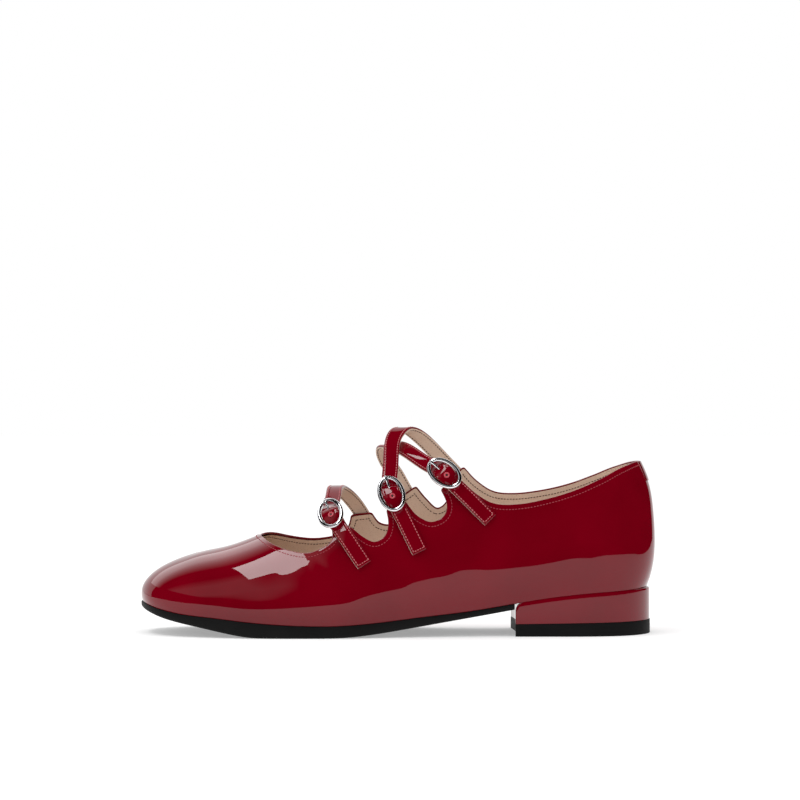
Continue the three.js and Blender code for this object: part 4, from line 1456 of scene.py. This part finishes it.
class Finish:
    """One material, its shader and short ways to add nodes to it."""

    def __init__(self, name, constants):
        self.material = bpy.data.materials.new(name)
        self.material.use_nodes = True
        self.tree = self.material.node_tree
        self.shader = self.tree.nodes["Principled BSDF"]
        for socket, value in constants.items():
            self.shader.inputs[socket].default_value = value
        self.place = self.node("ShaderNodeTexCoord", {}, {}, "Object")

    def node(self, kind, settings, sockets, output=0):
        made = self.tree.nodes.new(kind)
        for key, value in settings.items():
            setattr(made, key, value)
        for key, value in sockets.items():
            if isinstance(value, Wire):
                self.tree.links.new(value.socket, made.inputs[key])
            else:
                made.inputs[key].default_value = value
        return Wire(self, made.outputs[output])

    def noise(self, per_metre, detail):
        return self.node("ShaderNodeTexNoise", {}, {"Vector": self.place, "Scale": per_metre,
                                                    "Detail": detail})

    def axis(self, which):
        return self.node("ShaderNodeSeparateXYZ", {}, {"Vector": self.place}, which)

    def between(self, value, low, high):
        """0 below low, 1 above high, straight between."""
        return self.node("ShaderNodeMapRange", {"clamp": True},
                         {"Value": value, "From Min": low, "From Max": high})

    def mix(self, share, first, second):
        return self.node("ShaderNodeMix", {"data_type": "RGBA"}, {0: share, 6: first, 7: second}, 2)

    def feed(self, socket, value):
        self.tree.links.new(value.socket, self.shader.inputs[socket])

    def bump(self, height, distance, strength):
        self.feed("Normal", self.node("ShaderNodeBump", {}, {"Strength": strength, "Distance": distance,
                                                             "Height": height}))

    def paint(self, *pieces):
        for piece in pieces:
            piece.data.materials.append(self.material)


def shade(red, green, blue):
    """A colour as it looks, on a scale to 255, made into light."""
    return tuple(((c / 255 + 0.055) / 1.055) ** 2.4 if c > 10 else c / 255 / 12.92
                 for c in (red, green, blue)) + (1.0,)


# %% Patent leather
def patent_finish(name, dark, light):
    """A deep colour, a little cloudy, under a lacquer that alone gives the shine."""
    finish = Finish(name, {"Coat Roughness": 0.01, "Coat IOR": 1.45, "IOR": 1.45,
                           "Specular IOR Level": 0.0})
    cloud = finish.between(finish.noise(38, 3), 0.3, 0.7)
    finish.feed("Base Color", finish.mix(cloud, dark, light))
    finish.feed("Roughness", 0.34 + 0.1 * finish.noise(900, 2))
    finish.feed("Coat Weight", 1.0 - 0.04 * finish.noise(240, 2))
    finish.bump(finish.noise(120, 1.0), 0.00004, 0.5)
    return finish.material


# %% Lining, rubber, metal and thread
def lining_finish():
    finish = Finish("lining_leather", {"IOR": 1.45})
    cloud = finish.between(finish.noise(60, 4), 0.3, 0.7)
    pores = finish.node("ShaderNodeTexVoronoi", {}, {"Vector": finish.place, "Scale": 1400.0})
    pore = finish.between(pores, 0.05, 0.4)
    base = finish.mix(cloud, shade(211, 187, 168), shade(220, 196, 177))
    finish.feed("Base Color", finish.mix(pore, shade(195, 167, 147), base))
    finish.feed("Roughness", 0.62 - 0.12 * cloud)
    finish.bump(pore + finish.noise(500, 3) * 0.8, 0.00008, 0.5)
    return finish.material


def rubber_finish():
    finish = Finish("sole_rubber", {"IOR": 1.5, "Specular IOR Level": 0.2})
    grain = finish.noise(2200, 2)
    finish.feed("Base Color", finish.mix(finish.between(finish.noise(90, 3), 0.3, 0.7),
                                         shade(7, 7, 7), shade(12, 11, 11)))
    finish.feed("Roughness", 0.55 + 0.15 * grain)
    finish.bump(grain, 0.00006, 0.6)
    return finish.material


def metal_finish():
    finish = Finish("polished_metal", {"Metallic": 1.0})
    finish.feed("Base Color", finish.mix(finish.noise(160, 2), shade(226, 226, 230), shade(240, 240, 242)))
    finish.feed("Roughness", 0.06 + 0.08 * finish.noise(1500, 3))
    return finish.material


def thread_finish(name, light, dark):
    finish = Finish(name, {"IOR": 1.45})
    strand = finish.noise(5200, 1)
    finish.feed("Base Color", finish.mix(strand, dark, light))
    finish.feed("Roughness", 0.4 + 0.2 * strand)
    return finish.material


PATENT = patent_finish("patent_leather", shade(100, 0, 14), shade(110, 0, 17))
# A lighter pink patent for the punch rings: the highlight on their raised edge is painted into the base
# colour.
HIGHLIGHT_PAINTED_PATENT = patent_finish("punched_patent_painted_highlight", shade(168, 62, 72), shade(186, 84, 92))
LINING = lining_finish()
RUBBER = rubber_finish()
METAL = metal_finish()
RED_THREAD = thread_finish("red_thread", shade(178, 62, 74), shade(104, 10, 24))
# The strap rows use a lighter copy of the red thread: painted light, for stitches that catch more light on
# the straps.
LIT_RED_THREAD = thread_finish("red_thread_lit_copy", shade(214, 132, 134), shade(150, 52, 60))
# The dark thread finish also paints the shade inside the punch holes.
DARK_THREAD_AND_HOLE_SHADE = thread_finish("dark_thread_and_hole_shade", shade(78, 36, 30), shade(44, 16, 16))
print("finishes:", *(finish.name for finish in (PATENT, HIGHLIGHT_PAINTED_PATENT, LINING, RUBBER, METAL)))
print("threads:", *(finish.name for finish in (RED_THREAD, LIT_RED_THREAD, DARK_THREAD_AND_HOLE_SHADE)))


# %% Dress the pieces
LINING_BELOW = -0.1 * STRAP_THICK
dressed = []


def dress(piece, finish, slot, *replaced):
    """Give a piece its finish and say which plain pieces it stands in for. The slot is not used."""
    piece.data.materials.clear()
    piece.data.materials.append(finish)
    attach(piece, "root")
    if replaced:
        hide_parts(*replaced)
    dressed.append(piece.name)


def line_underside(strap):
    """The lower layer of a strap is lining leather: its faces take the second finish."""
    mesh = strap.data
    mesh.materials.append(LINING)
    low = read_note(strap, "layer")[:, 1] < LINING_BELOW
    for face in mesh.polygons:
        if all(low[k] for k in face.vertices):
            face.material_index = 1
    mesh.attributes.remove(mesh.attributes["layer"])


dress(upper, PATENT, "patent", "upper")
dress(lining, LINING, "lining", "upper")
dress(outsole, RUBBER, "sole", "outsole")
dress(insole, LINING, "lining", "insole")
dress(heel, PATENT, "patent", "heel")
dress(top_lift, RUBBER, "sole", "top_lift")
for name in STRAPS:
    dress(straps[name], PATENT, "patent", f"strap_{name}")
    line_underside(straps[name])
    dress(buckles[name], METAL, "silver", f"buckle_{name}")
    dress(prongs[name], METAL, "silver", f"prong_{name}")
    dress(loops[name], PATENT, "patent", f"loop_{name}")
for piece, finish, slot in ((outside_rows, RED_THREAD, "patent"), (inside_rows, DARK_THREAD_AND_HOLE_SHADE, "lining"),
                            (top_rows, LIT_RED_THREAD, "patent"), (under_rows, DARK_THREAD_AND_HOLE_SHADE, "lining"),
                            (punch_rings, HIGHLIGHT_PAINTED_PATENT, "patent"), (hole_shades, DARK_THREAD_AND_HOLE_SHADE, "patent"),
                            (tab, PATENT, "patent")):
    dress(piece, finish, slot)
print("dressed:", len(dressed), "pieces")


# %% Floor and boards
FLOOR_GLOW = 0.33
BLACK, WHITE = (0, 0, 0, 1), (1, 1, 1, 1)
floor_finish = Finish("floor_paper", {"Roughness": 0.9, "Emission Color": WHITE,
                                      "Emission Strength": FLOOR_GLOW, "Specular IOR Level": 0.0})
floor_finish.feed("Base Color", floor_finish.mix(floor_finish.noise(3, 2), (0.68, 0.68, 0.68, 1),
                                                 (0.70, 0.70, 0.70, 1)))
floor_finish.paint(floor)
dark_finish = Finish("dark_board", {"Base Color": (0.004, 0.004, 0.004, 1), "Roughness": 1.0,
                                    "Specular IOR Level": 0.0})
dark_finish.paint(*dark_boards)


def glow_finish(name, brightness, x_edge, *y_edges):
    """Light that comes up softly from one place to another, along X and along Y."""
    finish = Finish(name, {"Base Color": BLACK, "Specular IOR Level": 0.0,
                           "Emission Strength": brightness})
    share = finish.between(finish.axis(0), *x_edge)
    for edge in y_edges:
        share = share * finish.between(finish.axis(1), *edge)
    finish.feed("Emission Color", finish.mix(share, BLACK, WHITE))
    return finish


glow_finish("back_glow", 2.3, (-0.2, -0.5), (0.25, 1.3)).paint(back_glow)
glow_finish("front_glow", 0.5, (-0.5, -0.85), (-0.45, -1.1), (-3.7, -2.6)).paint(front_glow)
print("floor glows", FLOOR_GLOW)

# %% Sizes and the end
new_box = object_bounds()
boxes = [[list(map(float, corner)) for corner in box] for box in (cad_box, new_box)]
print("box in mm", [[round(v / MM, 1) for v in corner] for corner in boxes[1]])
